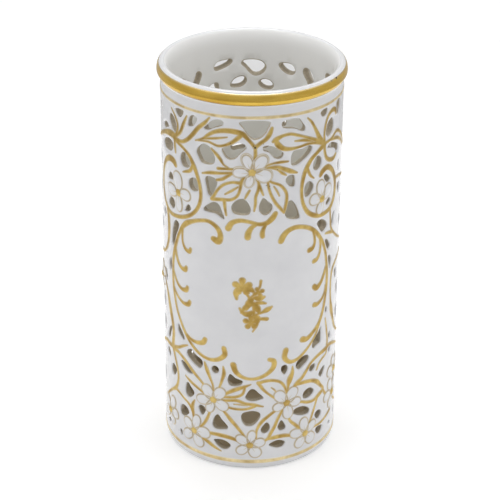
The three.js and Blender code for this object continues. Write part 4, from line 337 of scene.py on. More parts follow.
LOWER_LEFT = [
  [[-41.4, 68.0, 0.5], [-40.2, 65.9, 1.3], [-38.6, 62.8, 2.0], [-36.8, 58.4, 2.4], [-35.2, 54.0, 2.0],
   [-34.4, 49.8, 1.8], [-34.8, 46.2, 2.0], [-35.0, 43.4, 2.4]],
  [[-34.8, 43.2, 1.6], [-30.6, 45.1, 1.1], [-27.8, 46.9, 0.9], [-25.6, 48.1, 0.5]],
  [[-34.9, 43.0, 1.8], [-30.6, 42.7, 1.3], [-27.0, 41.2, 1.3], [-24.0, 39.0, 1.3], [-21.0, 36.7, 1.2],
   [-18.6, 34.8, 0.9], LEFT_HUB],
  [[-35.0, 43.0, 1.6], [-33.5, 39.5, 1.2], [-32.1, 36.0, 1.1], [-31.3, 32.5, 1.1], [-31.8, 29.0, 1.2],
   [-33.4, 26.2, 1.5], [-36.0, 24.2, 1.0], [-38.6, 22.0, 1.0], [-41.4, 19.4, 0.6]],
  [[-33.4, 25.9, 1.2], [-30.8, 25.5, 1.0], [-28.0, 24.4, 1.0], [-25.3, 23.2, 1.0], [-23.4, 21.4, 1.6],
   [-22.8, 18.4, 1.0], LOW_LEFT_HUB],
  [[-22.2, 25.9, 0.5], [-23.2, 23.6, 1.4], [-23.3, 21.0, 1.6]],
  [[-35.0, 43.2, 1.8], [-38.4, 43.0, 1.6], [-42.0, 42.6, 1.3], [-46.0, 40.8, 1.0], [-49.6, 39.2, 0.5]],
  [[-26.8, 34.6, 0.5], [-24.6, 33.5, 1.1], [-22.0, 32.4, 1.1], LEFT_HUB],
  [LEFT_HUB, [-15.6, 22.6, 0.9], [-16.9, 19.2, 1.1], [-18.6, 16.4, 0.9], LOW_LEFT_HUB],
  [LOW_LEFT_HUB, [-18.6, 10.7, 0.9], [-16.3, 9.8, 1.5], [-13.6, 8.3, 1.2], [-10.9, 7.1, 0.4]],
  [LOW_LEFT_HUB, [-15.0, 13.9, 1.3], [-10.4, 14.0, 1.6], [-6.2, 13.3, 1.4], [-2.6, 11.8, 0.7]],
  [LEFT_HUB, [-9.4, 24.4, 1.0], [-7.2, 21.6, 1.4], [-4.6, 18.4, 1.2], [-2.0, 14.8, 0.8]],
  [LEFT_HUB, [-14.1, 35.0, 0.7], [-15.2, 37.8, 1.0], [-16.5, 41.0, 1.5], [-17.5, 43.8, 0.7]],
  [LEFT_HUB, [-11.4, 35.0, 0.7], [-10.4, 38.2, 1.0], [-9.7, 41.2, 1.3], [-10.0, 43.8, 0.5]],
  [LEFT_HUB, [-8.4, 32.9, 1.2], [-5.6, 34.6, 1.5], [-2.5, 36.0, 1.2], [0.2, 37.2, 0.4]],
  [[-9.8, 31.0, 0.9], [-5.4, 31.6, 1.0], [-2.9, 32.9, 0.9], [-1.9, 35.8, 0.8]],
  [LEFT_HUB, [-9.0, 29.6, 1.0], [-4.9, 30.1, 1.2], [-1.8, 29.0, 1.1], [1.4, 28.5, 1.2], [4.8, 27.6, 0.5]],
  [LEFT_HUB, [-8.0, 26.8, 0.9], [-4.2, 26.4, 0.9], [-0.8, 26.8, 0.9], [2.0, 28.0, 1.0]],
]
LOWER_RIGHT = [
  [RIGHT_HUB, [9.2, 30.8, 0.9], [6.9, 32.7, 0.8], [4.9, 34.8, 1.0], [3.7, 36.6, 1.2], [2.9, 37.9, 1.2]],
  [[2.9, 37.7, 1.2], [5.4, 38.4, 1.2], [8.3, 38.4, 1.1], [11.1, 37.3, 1.0], [12.8, 35.2, 0.9],
   [13.8, 32.0, 0.8], RIGHT_HUB],
  [RIGHT_HUB, [14.4, 34.8, 1.0], [15.0, 37.4, 2.2], [16.0, 40.0, 1.5], [16.1, 42.6, 0.5]],
  [RIGHT_HUB, [9.2, 25.0, 1.0], [6.2, 22.7, 1.2], [4.1, 20.6, 1.2], [2.6, 17.6, 0.8], [2.2, 13.6, 0.7]],
  [RIGHT_HUB, [11.5, 23.6, 1.0], [10.3, 21.1, 1.1], [9.2, 18.2, 1.2], [7.9, 15.8, 1.2], [6.5, 13.2, 1.0],
   [2.6, 11.6, 0.8]],
  [[6.4, 13.2, 1.0], [10.0, 13.6, 1.6], [12.8, 13.6, 1.5], [16.0, 12.9, 1.2], LOW_RIGHT_HUB],
  [RIGHT_HUB, [15.2, 20.0, 0.9], [17.5, 17.2, 1.2], [20.1, 14.4, 1.2], LOW_RIGHT_HUB],
  [RIGHT_HUB, [17.7, 34.8, 1.4], [20.1, 36.4, 1.4], [22.4, 38.9, 1.3], [24.4, 41.2, 1.1], [27.2, 42.6, 1.3],
   [30.2, 43.2, 1.5], [33.0, 43.4, 1.8], [36.6, 43.8, 1.4], [41.6, 42.0, 1.1], [46.6, 39.4, 0.5]],
  [[17.7, 34.6, 1.4], [22.6, 34.1, 1.4], [25.8, 33.2, 1.4], [28.3, 31.6, 1.7], [30.4, 29.2, 1.3],
   [32.3, 26.7, 1.2], [29.6, 25.4, 1.9], [26.2, 24.4, 1.2], [23.0, 25.0, 1.1], [20.2, 26.2, 0.9], RIGHT_HUB],
  [[28.8, 25.2, 1.4], [27.6, 22.2, 0.9], [26.4, 19.4, 1.1], [25.0, 16.4, 0.9], LOW_RIGHT_HUB],
  [[34.4, 43.6, 1.2], [34.5, 47.6, 1.0], [33.6, 52.2, 0.9], [32.6, 56.8, 0.5]],
  [[27.9, 37.1, 0.8], [29.1, 39.0, 0.9], [31.2, 40.3, 0.9], [33.8, 41.2, 0.8], [34.6, 43.4, 0.8]],
  [[32.2, 26.4, 1.0], [34.4, 23.4, 1.2], [37.2, 21.6, 1.6], [40.4, 19.2, 1.2], [44.4, 16.0, 1.0],
   [48.4, 13.2, 0.5]],
  [LOW_RIGHT_HUB, [26.4, 12.4, 0.8], [30.8, 12.2, 1.0], [35.0, 12.9, 1.1], [38.8, 13.8, 1.4]],
]
SPRIG = [
  [[-2.6, 76.6, 0.8], [-0.4, 73.0, 0.9], [1.0, 69.6, 1.0], [1.3, 66.0, 1.1], [2.4, 62.6, 0.9],
   [0.8, 59.4, 0.5]],
  [[-0.8, 72.6, 0.7], [2.0, 75.4, 0.8], [3.2, 77.6, 0.8], [3.6, 80.0, 0.9]],
  [[-2.6, 76.8, 1.2], [-4.6, 75.2, 1.6], [-5.2, 72.6, 0.7]],
  [[-0.2, 70.0, 0.7], [3.0, 71.2, 1.6], [5.4, 70.8, 0.7]],
  [[1.2, 71.4, 0.7], [-1.8, 69.4, 1.7], [-3.4, 67.0, 0.7]],
  [[0.6, 65.9, 0.7], [4.0, 67.2, 1.0], [6.0, 68.2, 1.9], [7.6, 69.2, 0.7]],
  [[0.6, 64.6, 0.6], [3.8, 64.6, 1.2], [5.8, 64.4, 1.5]],
]
VEINS = [
  [[-17.4, 132.7, 0.6], [-13.0, 133.6, 0.8], [-8.5, 134.6, 0.4]],
  [[15.4, 132.3, 0.5], [19.0, 131.9, 1.1], [23.4, 130.6, 1.2], [27.6, 128.6, 1.2]],
  [[-9.2, 113.2, 0.5], [-6.8, 114.8, 0.8], [-4.6, 116.4, 0.5]],
  [[7.8, 116.4, 0.4], [9.0, 114.4, 0.6], [9.8, 112.6, 0.4]],
  [[-6.0, 28.4, 0.3], [-3.4, 28.4, 0.5], [-1.0, 28.2, 0.3]],
  [[7.8, 35.4, 0.3], [8.8, 34.5, 0.5], [9.6, 33.4, 0.3]],
  [[-0.6, 115.2, 0.7], [-1.6, 113.4, 0.8], [-2.2, 112.1, 0.4]],
]
# Blossoms of the sprig, each [round, up, radius, petals]
SPRIG_BLOSSOMS = [
  [-3.0, 77.6, 3.3, 5],
  [0.2, 63.2, 2.8, 5],
  [2.8, 75.4, 2.2, 4],
]
# Relief flowers, each with its centre and its petals as [angle, length, width]
FLOWERS = {
  "top_flower": ([0.2, 122.3], [[112, 7.0, 3.9], [51, 7.6, 4.6], [-19, 7.2, 5.4], [-105, 6.0, 3.4],
   [184, 6.8, 4.0]]),
  "left_vine_flower": ([-29.3, 108.6], [[98, 8.0, 5.6], [5, 6.2, 4.6], [-90, 7.4, 4.0], [186, 7.8, 5.0]]),
  "right_vine_flower": ([28.0, 107.0], [[97, 7.6, 4.6], [28, 6.8, 5.4], [-102, 5.8, 4.0], [166, 6.2, 4.6]]),
  "lower_left_flower": ([-13.8, 29.0], [[128, 6.8, 4.8], [53, 6.7, 4.6], [-28, 6.4, 4.8], [-112, 6.4, 3.6],
   [195, 7.6, 4.4]]),
  "lower_right_flower": ([13.8, 27.8], [[128, 6.9, 4.6], [57, 7.0, 4.8], [-8, 6.2, 4.0], [-82, 7.2, 4.4],
   [200, 5.6, 3.8]]),
  "bottom_middle_flower": ([0.0, 11.0], [[143, 6.2, 4.0], [80, 6.4, 3.4], [15, 5.9, 4.0], [-58, 6.2, 4.8],
   [-142, 6.0, 4.0]]),
  "bottom_left_flower": ([-22.4, 12.6], [[147, 6.3, 4.6], [77, 7.4, 4.0], [8, 7.2, 5.0], [-64, 7.0, 5.0],
   [-140, 7.2, 4.4]]),
  "bottom_right_flower": ([22.2, 11.7], [[162, 7.1, 4.2], [97, 7.2, 4.4], [32, 6.5, 4.2], [-48, 6.8, 5.0],
   [-126, 6.4, 4.6]]),
  "side_left_flower": ([-37.6, 14.4], [[0, 6.0, 4.6], [66, 7.4, 4.4], [140, 6.8, 4.4], [212, 6.6, 4.2],
   [-66, 6.0, 4.0]]),
  "side_right_flower": ([39.8, 21.6], [[182, 6.8, 4.6], [114, 6.8, 4.4], [44, 6.8, 4.4], [-30, 6.8, 4.4],
   [-104, 6.6, 4.4]]),
  "side_upper_flower": ([41.4, 31.2], [[176, 6.2, 4.6], [98, 5.6, 4.2], [28, 6.0, 4.2], [-44, 5.6, 4.0]]),
  "side_middle_flower": ([-45.4, 69.0], [[110, 5.6, 4.0], [38, 5.0, 3.8], [-34, 4.8, 3.8], [-106, 5.6, 4.0],
   [180, 5.0, 4.0]]),
}

# Leaves that fill the sprig out, painted between its stems
SPRIG_LEAVES = [
  [[-2.6, 76.9, 1.4], [-0.7, 77.0, 2.3], [1.0, 75.8, 1.2]],
  [[1.2, 73.4, 1.2], [3.0, 73.0, 2.3], [4.9, 73.5, 0.8]],
  [[0.6, 72.8, 1.4], [-0.6, 71.0, 2.5], [-1.6, 68.6, 1.2]],
  [[0.9, 71.0, 1.5], [2.2, 69.2, 2.5], [3.2, 67.0, 1.0]],
  [[1.0, 67.6, 1.3], [-1.0, 66.5, 2.2], [-2.8, 67.2, 1.4], [-3.9, 68.8, 0.8]],
  [[-4.4, 77.4, 1.2], [-5.3, 75.0, 1.9], [-5.0, 72.6, 1.0]],
  [[1.2, 66.4, 1.2], [2.6, 64.9, 1.8], [2.2, 62.4, 1.1]],
]
# Dark specks fired into the gold, as (round, up, reach) at the crown, and on the rim with degrees for up
CROWN_SPECKS = [(1.2, 131.3, 0.36), (0.6, 131.9, 0.22), (-7.3, 132.6, 0.2), (4.0, 132.6, 0.14),
                (9.0, 122.7, 0.18), (5.6, 117.2, 0.16), (6.3, 116.7, 0.22), (5.1, 117.0, 0.14)]
BAND_SPECKS = [(31.2, 41, 0.24), (34.4, 43, 0.38)]

# Fine sizes of the finished surfaces in mm
GRID = 1.3
INNER_GRID = 2.6
HOLE_STEP = 0.5
HOLE_CLEAR = 0.225
STROKE_STEP = 0.45
STROKE_HEIGHT = 0.14
STROKE_EDGE = 0.3
STROKE_SPREAD = 0.36
STROKE_FADE = 0.42
STROKE_REACH = 2.0
NARROWEST = 0.015
SUNK = 0.08
LAYER = 0.003
OUTLINE_WIDTH = 0.7
# The top flower's outlines are wider and softer: painted lines, and partly painted shade round the edges of
# its raised petals
TOP_OUTLINE_WIDTH = 0.95
OUTLINE_HEIGHT = 0.07
PETAL_HEIGHT = 0.45
TOP_PETAL_HEIGHT = 1.0
EYE_RADIUS = 1.6
TOP_EYE_RADIUS = 1.75
EYE_RISE = 0.55
VEIN_HEIGHT = 0.042
VEIN_BEND = 0.06
VEIN_WIDTHS = [0.3, 0.26, 0.1]
BLOSSOM_HEART = 0.5
BLOSSOM_TIP = 0.8
BLOSSOM_STEM_WIDTH = 1.2
BAND_LIFT = 0.12
BAND_BED = 0.01
LINE_HEIGHT = 0.12
LINE_FADE = 0.35
COLLAR_WIDTH = 1.25
FOOT_LINE_WIDTH = 1.6
# Rounding of an opening's outer edge and inner edge, as (out from the cut, depth) pairs
OUTER_LIP = [(0.42, 0.0), (0.27, 0.04), (0.14, 0.13), (0.05, 0.27), (0.0, 0.48)]
INNER_LIP = [(0.0, 1.9), (0.08, 2.3), (0.28, 2.7), (0.62, 3.0)]
# Places across a stroke, as shares of its half width
ACROSS = np.array([-1, -0.86, -0.62, -0.32, 0, 0.32, 0.62, 0.86, 1])
# Rings of a dome, as shares of its reach from the outside in, and of a speck with their lift too
PETAL_SHARES = [1.0, 0.97, 0.9, 0.8, 0.65, 0.48, 0.3, 0.12]
EYE_SHARES = [1.0, 0.93, 0.8, 0.6, 0.38, 0.16]
SPECK_RINGS = [(1.0, -0.05), (1.0, 0.01), (0.6, 0.06)]
# A petal's half width as shares of its full one: in its middle, and what it gains to its tip
PETAL_MIDDLE = 0.93
PETAL_GAIN = 0.24
# How squarely the domes fall off at their edges
PETAL_ROUND = 2.4
EYE_ROUND = 2.6
EYE_SQUARE = 0.8
# An eye's lobes round its edge, and how far they stand out as a share of its radius
EYE_LOBES = 5
EYE_LOBE = 0.07
# How far a flower's eye is lifted with its petals, as a share of their height
EYE_SEAT = 0.75
# A petal's vein: its start as a share of the eye's radius, its middle and end as shares of the petal's
# length, and its turn in degrees
VEIN_START = 0.8
VEIN_MIDDLE = 0.34
VEIN_END = 0.52
VEIN_TURN = 2
# A blossom stroke's width at its tip as a share of the radius, and the first one's turn in strokes
BLOSSOM_FULL = 0.76
BLOSSOM_TURN = 0.25
# How squarely the rim's band falls off at its edges, how its colour fades out there, and how far its
# specks lean in as a share of the angle they stand at
BAND_SQUARE = 6
BAND_LOW_SHARE = 0.35
BAND_LOW_FADE = 7
BAND_HIGH_FADE = 6
BAND_LEAN = 0.66
# Waves of the painted lines in their place and their width, each (mm, times round, times the phase)
LINE_SWAY = [(0.07, 2, 1), (0.04, 5, 2)]
LINE_SWELL = [(0.08, 3, 1), (0.05, 11, 0)]
# How near two points count as one: in metres on the mesh, and in mm on the flat drawing
SAME_PLACE = 1e-6
SAME_FLAT = 1e-7

# How many steps go once round each shape, and along the parts of the rim
RING_STEPS = 256
LINE_STEPS = 420
PETAL_STEPS = 40
OUTLINE_STEPS = 48
EYE_STEPS = 28
SPECK_STEPS = 10
RIM_SIDE_STEPS = 12
RIM_TURN_STEPS = 16
RIM_FLARE_STEPS = 28
BAND_SIDE_STEPS = 8
BAND_TURN_STEPS = 11
# How many heights the strokes of one piece take in turn
LAYERS = 9
# In degrees: the rounding of a stroke's open end, and the angle from which faces keep a crisp edge
CAP_TURNS = [90, 62, 34]
SHARP_FROM = 55


# Curves and meshes

def gap(a, b):
    """Flat distance from one point to the next."""
    return math.hypot(*(b - a)[:2])


def between(t, start, end, first, last):
    """What stands at t on the straight run from first at start to last at end."""
    return (end - t) / (end - start) * first + (t - start) / (end - start) * last


def spline(points, step, closed=False):
    """Centripetal Catmull-Rom curve through the points, sampled about every step mm."""
    p = np.array(points, float)
    if closed:
        q = np.vstack([p[-1:], p, p[:2]])
    else:
        q = np.vstack([2 * p[:1] - p[1:2], p, 2 * p[-1:] - p[-2:-1]])
    out = []
    for a, b, c, d in zip(q[:-3], q[1:-2], q[2:-1], q[3:]):
        t1, t2, t3 = accumulate(max(gap(*pair), 1e-6) ** 0.5 for pair in ((a, b), (b, c), (c, d)))
        count = max(1, math.ceil(gap(b, c) / step))
        t = np.linspace(t1, t2, count, endpoint=False)[:, None]
        middle = between(t, t1, t2, b, c)
        before = between(t, 0, t2, between(t, 0, t1, a, b), middle)
        after = between(t, t1, t3, middle, between(t, t2, t3, c, d))
        out.append(between(t, t1, t2, before, after))
    if not closed:
        out.append(p[-1:])
    return np.vstack(out)


def circle(count):
    """Angles of count places evenly round a full turn."""
    return np.linspace(0, 2 * math.pi, count, endpoint=False)


def pairs(count, loop):
    """Each place with the next one, in a loop round to the first again."""
    return [(i, (i + 1) % count) for i in range(count if loop else count - 1)]


def grid_faces(rows, columns, loop_rows=False, loop_columns=False):
    """Faces between rows of points. They look to where rows follow to the right and run upwards."""
    return [(a * columns + b, c * columns + b, c * columns + d, a * columns + d)
            for a, c in pairs(rows, loop_rows) for b, d in pairs(columns, loop_columns)]


def on_wall(flat, radius):
    """Points [round, up] on the round wall at a radius, in metres."""
    angle = flat[..., 0] / WALL_RADIUS
    return np.stack([radius * np.sin(angle), -radius * np.cos(angle), flat[..., 1]], -1) * MM


def soften(mesh):
    """Smooth shading, with crisp edges left where faces meet steeply."""
    mesh.shade_smooth()
    mesh.set_sharp_from_angle(angle=math.radians(SHARP_FROM))
    mesh.update()


def show(obj):
    """Puts an object into the scene."""
    bpy.context.scene.collection.objects.link(obj)
    return obj


def solid(name, points, faces, slots, kinds=None, shares=None, soft=True):
    """A mesh object, with each face's material number and a share from 0 to 1 at each point."""
    mesh = bpy.data.meshes.new(name)
    mesh.from_pydata([tuple(p) for p in np.reshape(points, (-1, 3))], [], faces)
    for slot in slots:
        mesh.materials.append(slot)
    if kinds is not None:
        mesh.polygons.foreach_set("material_index", np.array(kinds, np.int32))
    if shares is not None:
        values = np.ravel(shares).astype(np.float32)
        mesh.attributes.new("share", "FLOAT", "POINT").data.foreach_set("value", values)
    if soft:
        soften(mesh)
    return show(bpy.data.objects.new(name, mesh))


class Pile:
    """Points and faces of several shapes gathered into one mesh."""

    def __init__(self):
        self.points = []
        self.faces = []
        self.kinds = []
        self.shares = []
        self.count = 0

    def add(self, points, faces, kind=0, shares=None):
        """A shape of one material number. Its faces count its own points from 0."""
        points = np.reshape(points, (-1, 3))
        self.points.append(points)
        self.faces.extend([tuple(int(i) + self.count for i in f) for f in faces])
        self.kinds.extend([kind] * len(faces))
        self.shares.append(np.ones(len(points)) if shares is None else np.ravel(shares))
        self.count += len(points)

    def add_stack(self, levels, kind):
        """A closed shape from rings of points, lowest first."""
        n, high = len(levels[0]), len(levels)
        faces = grid_faces(n, high, loop_rows=True)
        faces.append(range(high - 1, n * high, high))
        faces.append(range((n - 1) * high, -1, -high))
        self.add(np.stack(levels, 1), faces, kind)

    def build(self, name, slots):
        shares = np.concatenate(self.shares)
        return solid(name, np.vstack(self.points), self.faces, slots, self.kinds, shares)


def lathe(profile):
    """Points and faces of a closed [radius, up] profile turned round the axis."""
    radius, up = np.transpose(profile)
    turn = circle(RING_STEPS)[:, None]
    points = np.stack(np.broadcast_arrays(np.sin(turn) * radius, -np.cos(turn) * radius, up), -1) * MM
    return points, grid_faces(RING_STEPS, len(profile), True, True)


def turned(name, profile, slots, kinds):
    """A turned piece, with a material number for each step along its profile."""
    return solid(name, *lathe(profile), slots, kinds * RING_STEPS)


# Materials

# How fine the noise in each surface is, finer for larger numbers
CLOUDS = 90.0
WAVES = 260.0
RIPPLE = 420.0
GOLD_POOLS = 170.0
GOLD_STREAKS = 520.0
GOLD_SHEEN = 900.0
GOLD_GRAIN = 1500.0
BISCUIT_GRAIN = 1400.0
# Strength of the glaze's ripple, and its depth in metres
RIPPLE_DEPTH = (0.12, 0.0002)
WHITE = (1, 1, 1, 1)


class Nodes:
    """A node tree with short ways to fill it. Inputs take a value or another node's output."""

    def __init__(self, tree):
        self.tree = tree

    def set(self, node, inputs):
        """Gives a node's inputs what they take, by name or number."""
        for name, value in inputs.items():
            if isinstance(value, bpy.types.NodeSocket):
                self.tree.links.new(value, node.inputs[name])
            else:
                node.inputs[name].default_value = value

    def add(self, kind, out, inputs=None, **options):
        """The output named out of a new node."""
        node = self.tree.nodes.new("ShaderNode" + kind)
        for option, value in options.items():
            setattr(node, option, value)
        self.set(node, inputs or {})
        return node.outputs[out]

    def place(self):
        """Where a point lies on its object."""
        return self.add("TexCoord", "Object")

    def rays(self, kinds):
        """1 for rays of any of these kinds, and 0 for others."""
        seen = self.add("LightPath", f"Is {kinds[0]} Ray")
        for kind in kinds[1:]:
            seen = self.reckon("MAXIMUM", seen, self.add("LightPath", f"Is {kind} Ray"))
        return seen

    def reckon(self, operation, first, second):
        return self.add("Math", "Value", {0: first, 1: second}, operation=operation)

    def noise(self, scale, detail=2.0, stretch=1.0):
        """Cloudy noise over the object. A stretch below 1 draws it out level round the vase."""
        drawn = self.add("Mapping", "Vector", {"Vector": self.place(), "Scale": (stretch, stretch, 1.0)})
        return self.add("TexNoise", "Fac", {"Vector": drawn, "Scale": scale, "Detail": detail})

    def ramp(self, value, *stops):
        """A colour ramp over a value, from (place, colour) stops."""
        node = self.tree.nodes.new("ShaderNodeValToRGB")
        for _ in stops[2:]:
            node.color_ramp.elements.new(0.5)
        for element, (place, colour) in zip(node.color_ramp.elements, stops):
            element.position = place
            element.color = (*colour, 1)
        self.set(node, {"Fac": value})
        return node.outputs["Color"]

    def span(self, value, low, high, start=0.0, end=1.0):
        """The value mapped from start..end to low..high."""
        return self.add("MapRange", "Result", {"Value": value, "From Min": start, "From Max": end,
                                               "To Min": low, "To Max": high})

    def bump(self, height, strength, distance):
        return self.add("Bump", "Normal", {"Height": height, "Strength": strength, "Distance": distance})

    def mix(self, kind, factor, first, second):
        return self.add("Mix", "Result", {"Factor": factor, "A": first, "B": second},
                        data_type="RGBA", blend_type=kind)


class Paint(Nodes):
    """A new material round one surface shader."""

    def __init__(self, name, colour, roughness, metallic=0.0):
        self.material = bpy.data.materials.new(name)
        self.material.use_nodes = True
        super().__init__(self.material.node_tree)
        self.coat({"Base Color": (*colour, 1), "Roughness": roughness, "Metallic": metallic})

    def coat(self, inputs):
        """Sets inputs of the surface shader and hands back the material."""
        self.set(self.tree.nodes["Principled BSDF"], inputs)
        return self.material


def glaze(name, low, high, roughness):
    """Clear glaze on porcelain, with faint clouds in its colour and a soft ripple."""
    paint = Paint(name, high, roughness)
    return paint.coat({
        "Base Color": paint.ramp(paint.noise(CLOUDS, 3.0), (0.3, low), (0.7, high)),
        "Roughness": paint.span(paint.noise(WAVES), roughness * 0.7, roughness * 1.4),
        "IOR": 1.5,
        "Coat Weight": 0.6,
        "Coat Roughness": 0.06,
        "Normal": paint.bump(paint.noise(RIPPLE), *RIPPLE_DEPTH),
    })


def inside_glaze_with_painted_shade():
    """The glaze inside, with painted shade: light below the rim, and darker and warmer down in the body.

    A faint painted glow lightens it more, as painted light inside the vase.
    """
    paint = Paint("porcelain_inside_painted_shade", (0.9, 0.9, 0.89), 0.2)
    up = paint.add("SeparateXYZ", "Z", {"Vector": paint.place()})
    height = paint.span(up, 0.0, 1.0, end=WALL_TOP * MM)
    return paint.coat({
        # Painted shade: darker and browner towards the bottom inside
        "Base Color": paint.ramp(height, (0.04, (0.50, 0.41, 0.28)), (0.35, (0.66, 0.60, 0.48)),
                                 (0.75, (0.85, 0.85, 0.82)), (0.95, (0.91, 0.91, 0.90))),
        # Painted light: a faint glow, strongest about three quarters of the way up
        "Emission Color": paint.ramp(height, (0.2, (0, 0, 0)), (0.55, (0.05, 0.048, 0.042)),
                                     (0.78, (0.062, 0.062, 0.059)), (0.95, (0.03, 0.03, 0.029))),
        "Emission Strength": 1.0,
        "Roughness": paint.span(paint.noise(WAVES), 0.14, 0.28),
        "Normal": paint.bump(paint.noise(RIPPLE), *RIPPLE_DEPTH),
    })


def gold(name, edge_colour, low, high, roughness, stretch=1.0, metallic=1.0, grain=0.25):
    """Fired gold: brushed and cloudy colour that changes at the edge of each stroke."""
    paint = Paint(name, high, roughness, metallic)
    streaks = paint.ramp(paint.noise(GOLD_STREAKS, 4.0, stretch), (0.32, low), (0.68, high))
    pools = paint.ramp(paint.noise(GOLD_POOLS, 2.0, stretch), (0.36, (0.74, 0.67, 0.56)), (0.56, (1, 1, 1)))
    cloudy = paint.mix("MULTIPLY", 1.0, streaks, pools)
    share = paint.add("Attribute", "Fac", attribute_name="share")
    return paint.coat({
        "Base Color": paint.mix("MIX", share, (*edge_colour, 1.0), cloudy),
        "Roughness": paint.span(paint.noise(GOLD_SHEEN, 3.0), roughness * 0.75, roughness * 1.25),
        "Normal": paint.bump(paint.noise(GOLD_GRAIN, 3.0), grain, 0.00005),
    })


def biscuit(name, low, high):
    """Bare, matt porcelain with a fine grain."""
    paint = Paint(name, high, 0.8)
    grain = paint.noise(BISCUIT_GRAIN, 6.0)
    return paint.coat({
        "Base Color": paint.ramp(grain, (0.35, low), (0.65, high)),
        "Roughness": paint.span(grain, 0.7, 0.9),
        "Normal": paint.bump(grain, 0.3, 0.0001),
    })


PORCELAIN = glaze("porcelain_glaze", (0.80, 0.80, 0.82), (0.86, 0.86, 0.875), 0.16)
INSIDE_PAINTED_SHADE = inside_glaze_with_painted_shade()
# Painted shade: the openings' cut sides and inner rounding are a dull brown that stands in for the shade
# inside them
CUT_SIDES_SHADE = biscuit("porcelain_cut_sides_painted_shade", (0.47, 0.405, 0.30), (0.60, 0.53, 0.415))
PETAL = glaze("porcelain_petals", (0.82, 0.82, 0.835), (0.88, 0.88, 0.89), 0.14)
BARE = biscuit("bare_porcelain", (0.66, 0.65, 0.61), (0.74, 0.73, 0.70))
GILT = gold("fired_gold", (0.64, 0.57, 0.43), (0.455, 0.315, 0.092), (0.615, 0.445, 0.145), 0.42)
THIN_GILT = gold("thin_gold_lines", (0.78, 0.70, 0.54), (0.68, 0.54, 0.28), (0.84, 0.70, 0.40), 0.42,
                 metallic=0.75)
BURNISHED = gold("burnished_gold", (0.66, 0.57, 0.38), (0.65, 0.42, 0.066), (0.78, 0.525, 0.104), 0.24,
                 stretch=0.15, grain=0.06)
LINE_PAINT = gold("outline_paint", (0.70, 0.65, 0.55), (0.44, 0.33, 0.18), (0.58, 0.46, 0.28), 0.4,
                  metallic=0.2)
EYE_GOLD = gold("flower_eye_gold", (0.62, 0.53, 0.35), (0.60, 0.43, 0.13), (0.76, 0.57, 0.19), 0.4,
                metallic=0.6)
SPECK = biscuit("dark_firing_specks", (0.03, 0.022, 0.012), (0.09, 0.065, 0.03))


# Wall

def to_segments(points, a, b):
    """Distance of points from the segments a to b, and the share of each at its nearest place."""
    ab = b - a
    ap = points[:, None] - a
    share = np.clip((ap * ab).sum(-1) / np.maximum((ab * ab).sum(-1), 1e-9), 0, 1)
    return np.sqrt(((ap - share[..., None] * ab) ** 2).sum(-1)), share


def near_to(points, line, reach):
    """Numbers of the points that lie in the box round a line, widened by a reach."""
    return np.where(((points > line.min(0) - reach) & (points < line.max(0) + reach)).all(1))[0]


def signed_distance(points, outline):
    """Distance of points from a closed outline, positive inside it."""
    a, b = outline, np.roll(outline, -1, axis=0)
    away = to_segments(points, a, b)[0].min(1)
    x, y = points[:, :1], points[:, 1:]
    beside = (a[:, 1] > y) != (b[:, 1] > y)
    with np.errstate(divide="ignore", invalid="ignore"):
        cross = a[:, 0] + (y - a[:, 1]) / (b - a)[:, 1] * (b - a)[:, 0]
    inside = (beside & (x < cross)).sum(1) % 2 == 1
    return np.where(inside, away, -away)


def outward(outline):
    """Unit normals of a closed outline, pointing out of it."""
    along = np.roll(outline, -1, axis=0) - np.roll(outline, 1, axis=0)
    normal = np.column_stack([along[:, 1], -along[:, 0]])
    normal /= np.linalg.norm(normal, axis=1)[:, None]
    after = np.roll(outline, -1, axis=0)
    area = (outline[:, 0] * after[:, 1] - after[:, 0] * outline[:, 1]).sum()
    return normal if area > 0 else -normal


def opening_ring(outline, normal, out, depth):
    """One ring of an opening's edge: moved out from the cut, and depth mm into the wall."""
    ring = outline + normal * out
    middle = (outline[:, 0].min() + outline[:, 0].max()) / 2
    across = WALL_RADIUS * np.sin((ring[:, 0] - middle) / WALL_RADIUS) / (WALL_RADIUS - depth)
    return np.column_stack([middle + WALL_RADIUS * np.arcsin(across), ring[:, 1]])


def skin(rings, step):
    """Half the wall's unrolled skin, open inside the rings: points, triangles and each ring's start."""
    half = math.pi * WALL_RADIUS / 2
    columns = np.linspace(-half, half, round(2 * half / step) + 1)
    rows = np.linspace(WALL_BOTTOM, WALL_TOP, round((WALL_TOP - WALL_BOTTOM) / step) + 1)
    grid = np.array([(u, z) for z in rows for u in columns])
    keep = np.ones(len(grid), bool)
    for ring in rings:
        near = near_to(grid, ring, step)
        if len(near):
            keep[near] &= signed_distance(grid[near], ring) < -HOLE_CLEAR
    grid = grid[keep]
    points = np.vstack([grid, *rings])
    sizes = [len(ring) for ring in rings]
    starts = list(accumulate(sizes[:-1], initial=len(grid)))
    lines = [(start + i, start + j) for start, n in zip(starts, sizes) for i, j in pairs(n, True)]
    made = delaunay_2d_cdt([Vector(p) for p in points], lines, [], 0, SAME_FLAT, True)
    if len(made[0]) != len(points):
        raise ValueError(f"openings touch: {len(made[0])} points from {len(points)}")
    back = np.array([olds[0] for olds in made[3]])
    triangles = back[np.array(made[2])]
    owners = np.repeat(np.arange(-1, len(rings)), [len(grid), *sizes])[triangles]
    same = (owners == owners[:, :1]).all(1)
    keep = np.ones(len(triangles), bool)
    middles = points[triangles].mean(1)
    for number, ring in enumerate(rings):
        mine = np.where(same & (owners[:, 0] == number))[0]
        if len(mine):
            keep[mine] = signed_distance(middles[mine], ring) < 0
    return points, triangles[keep], starts


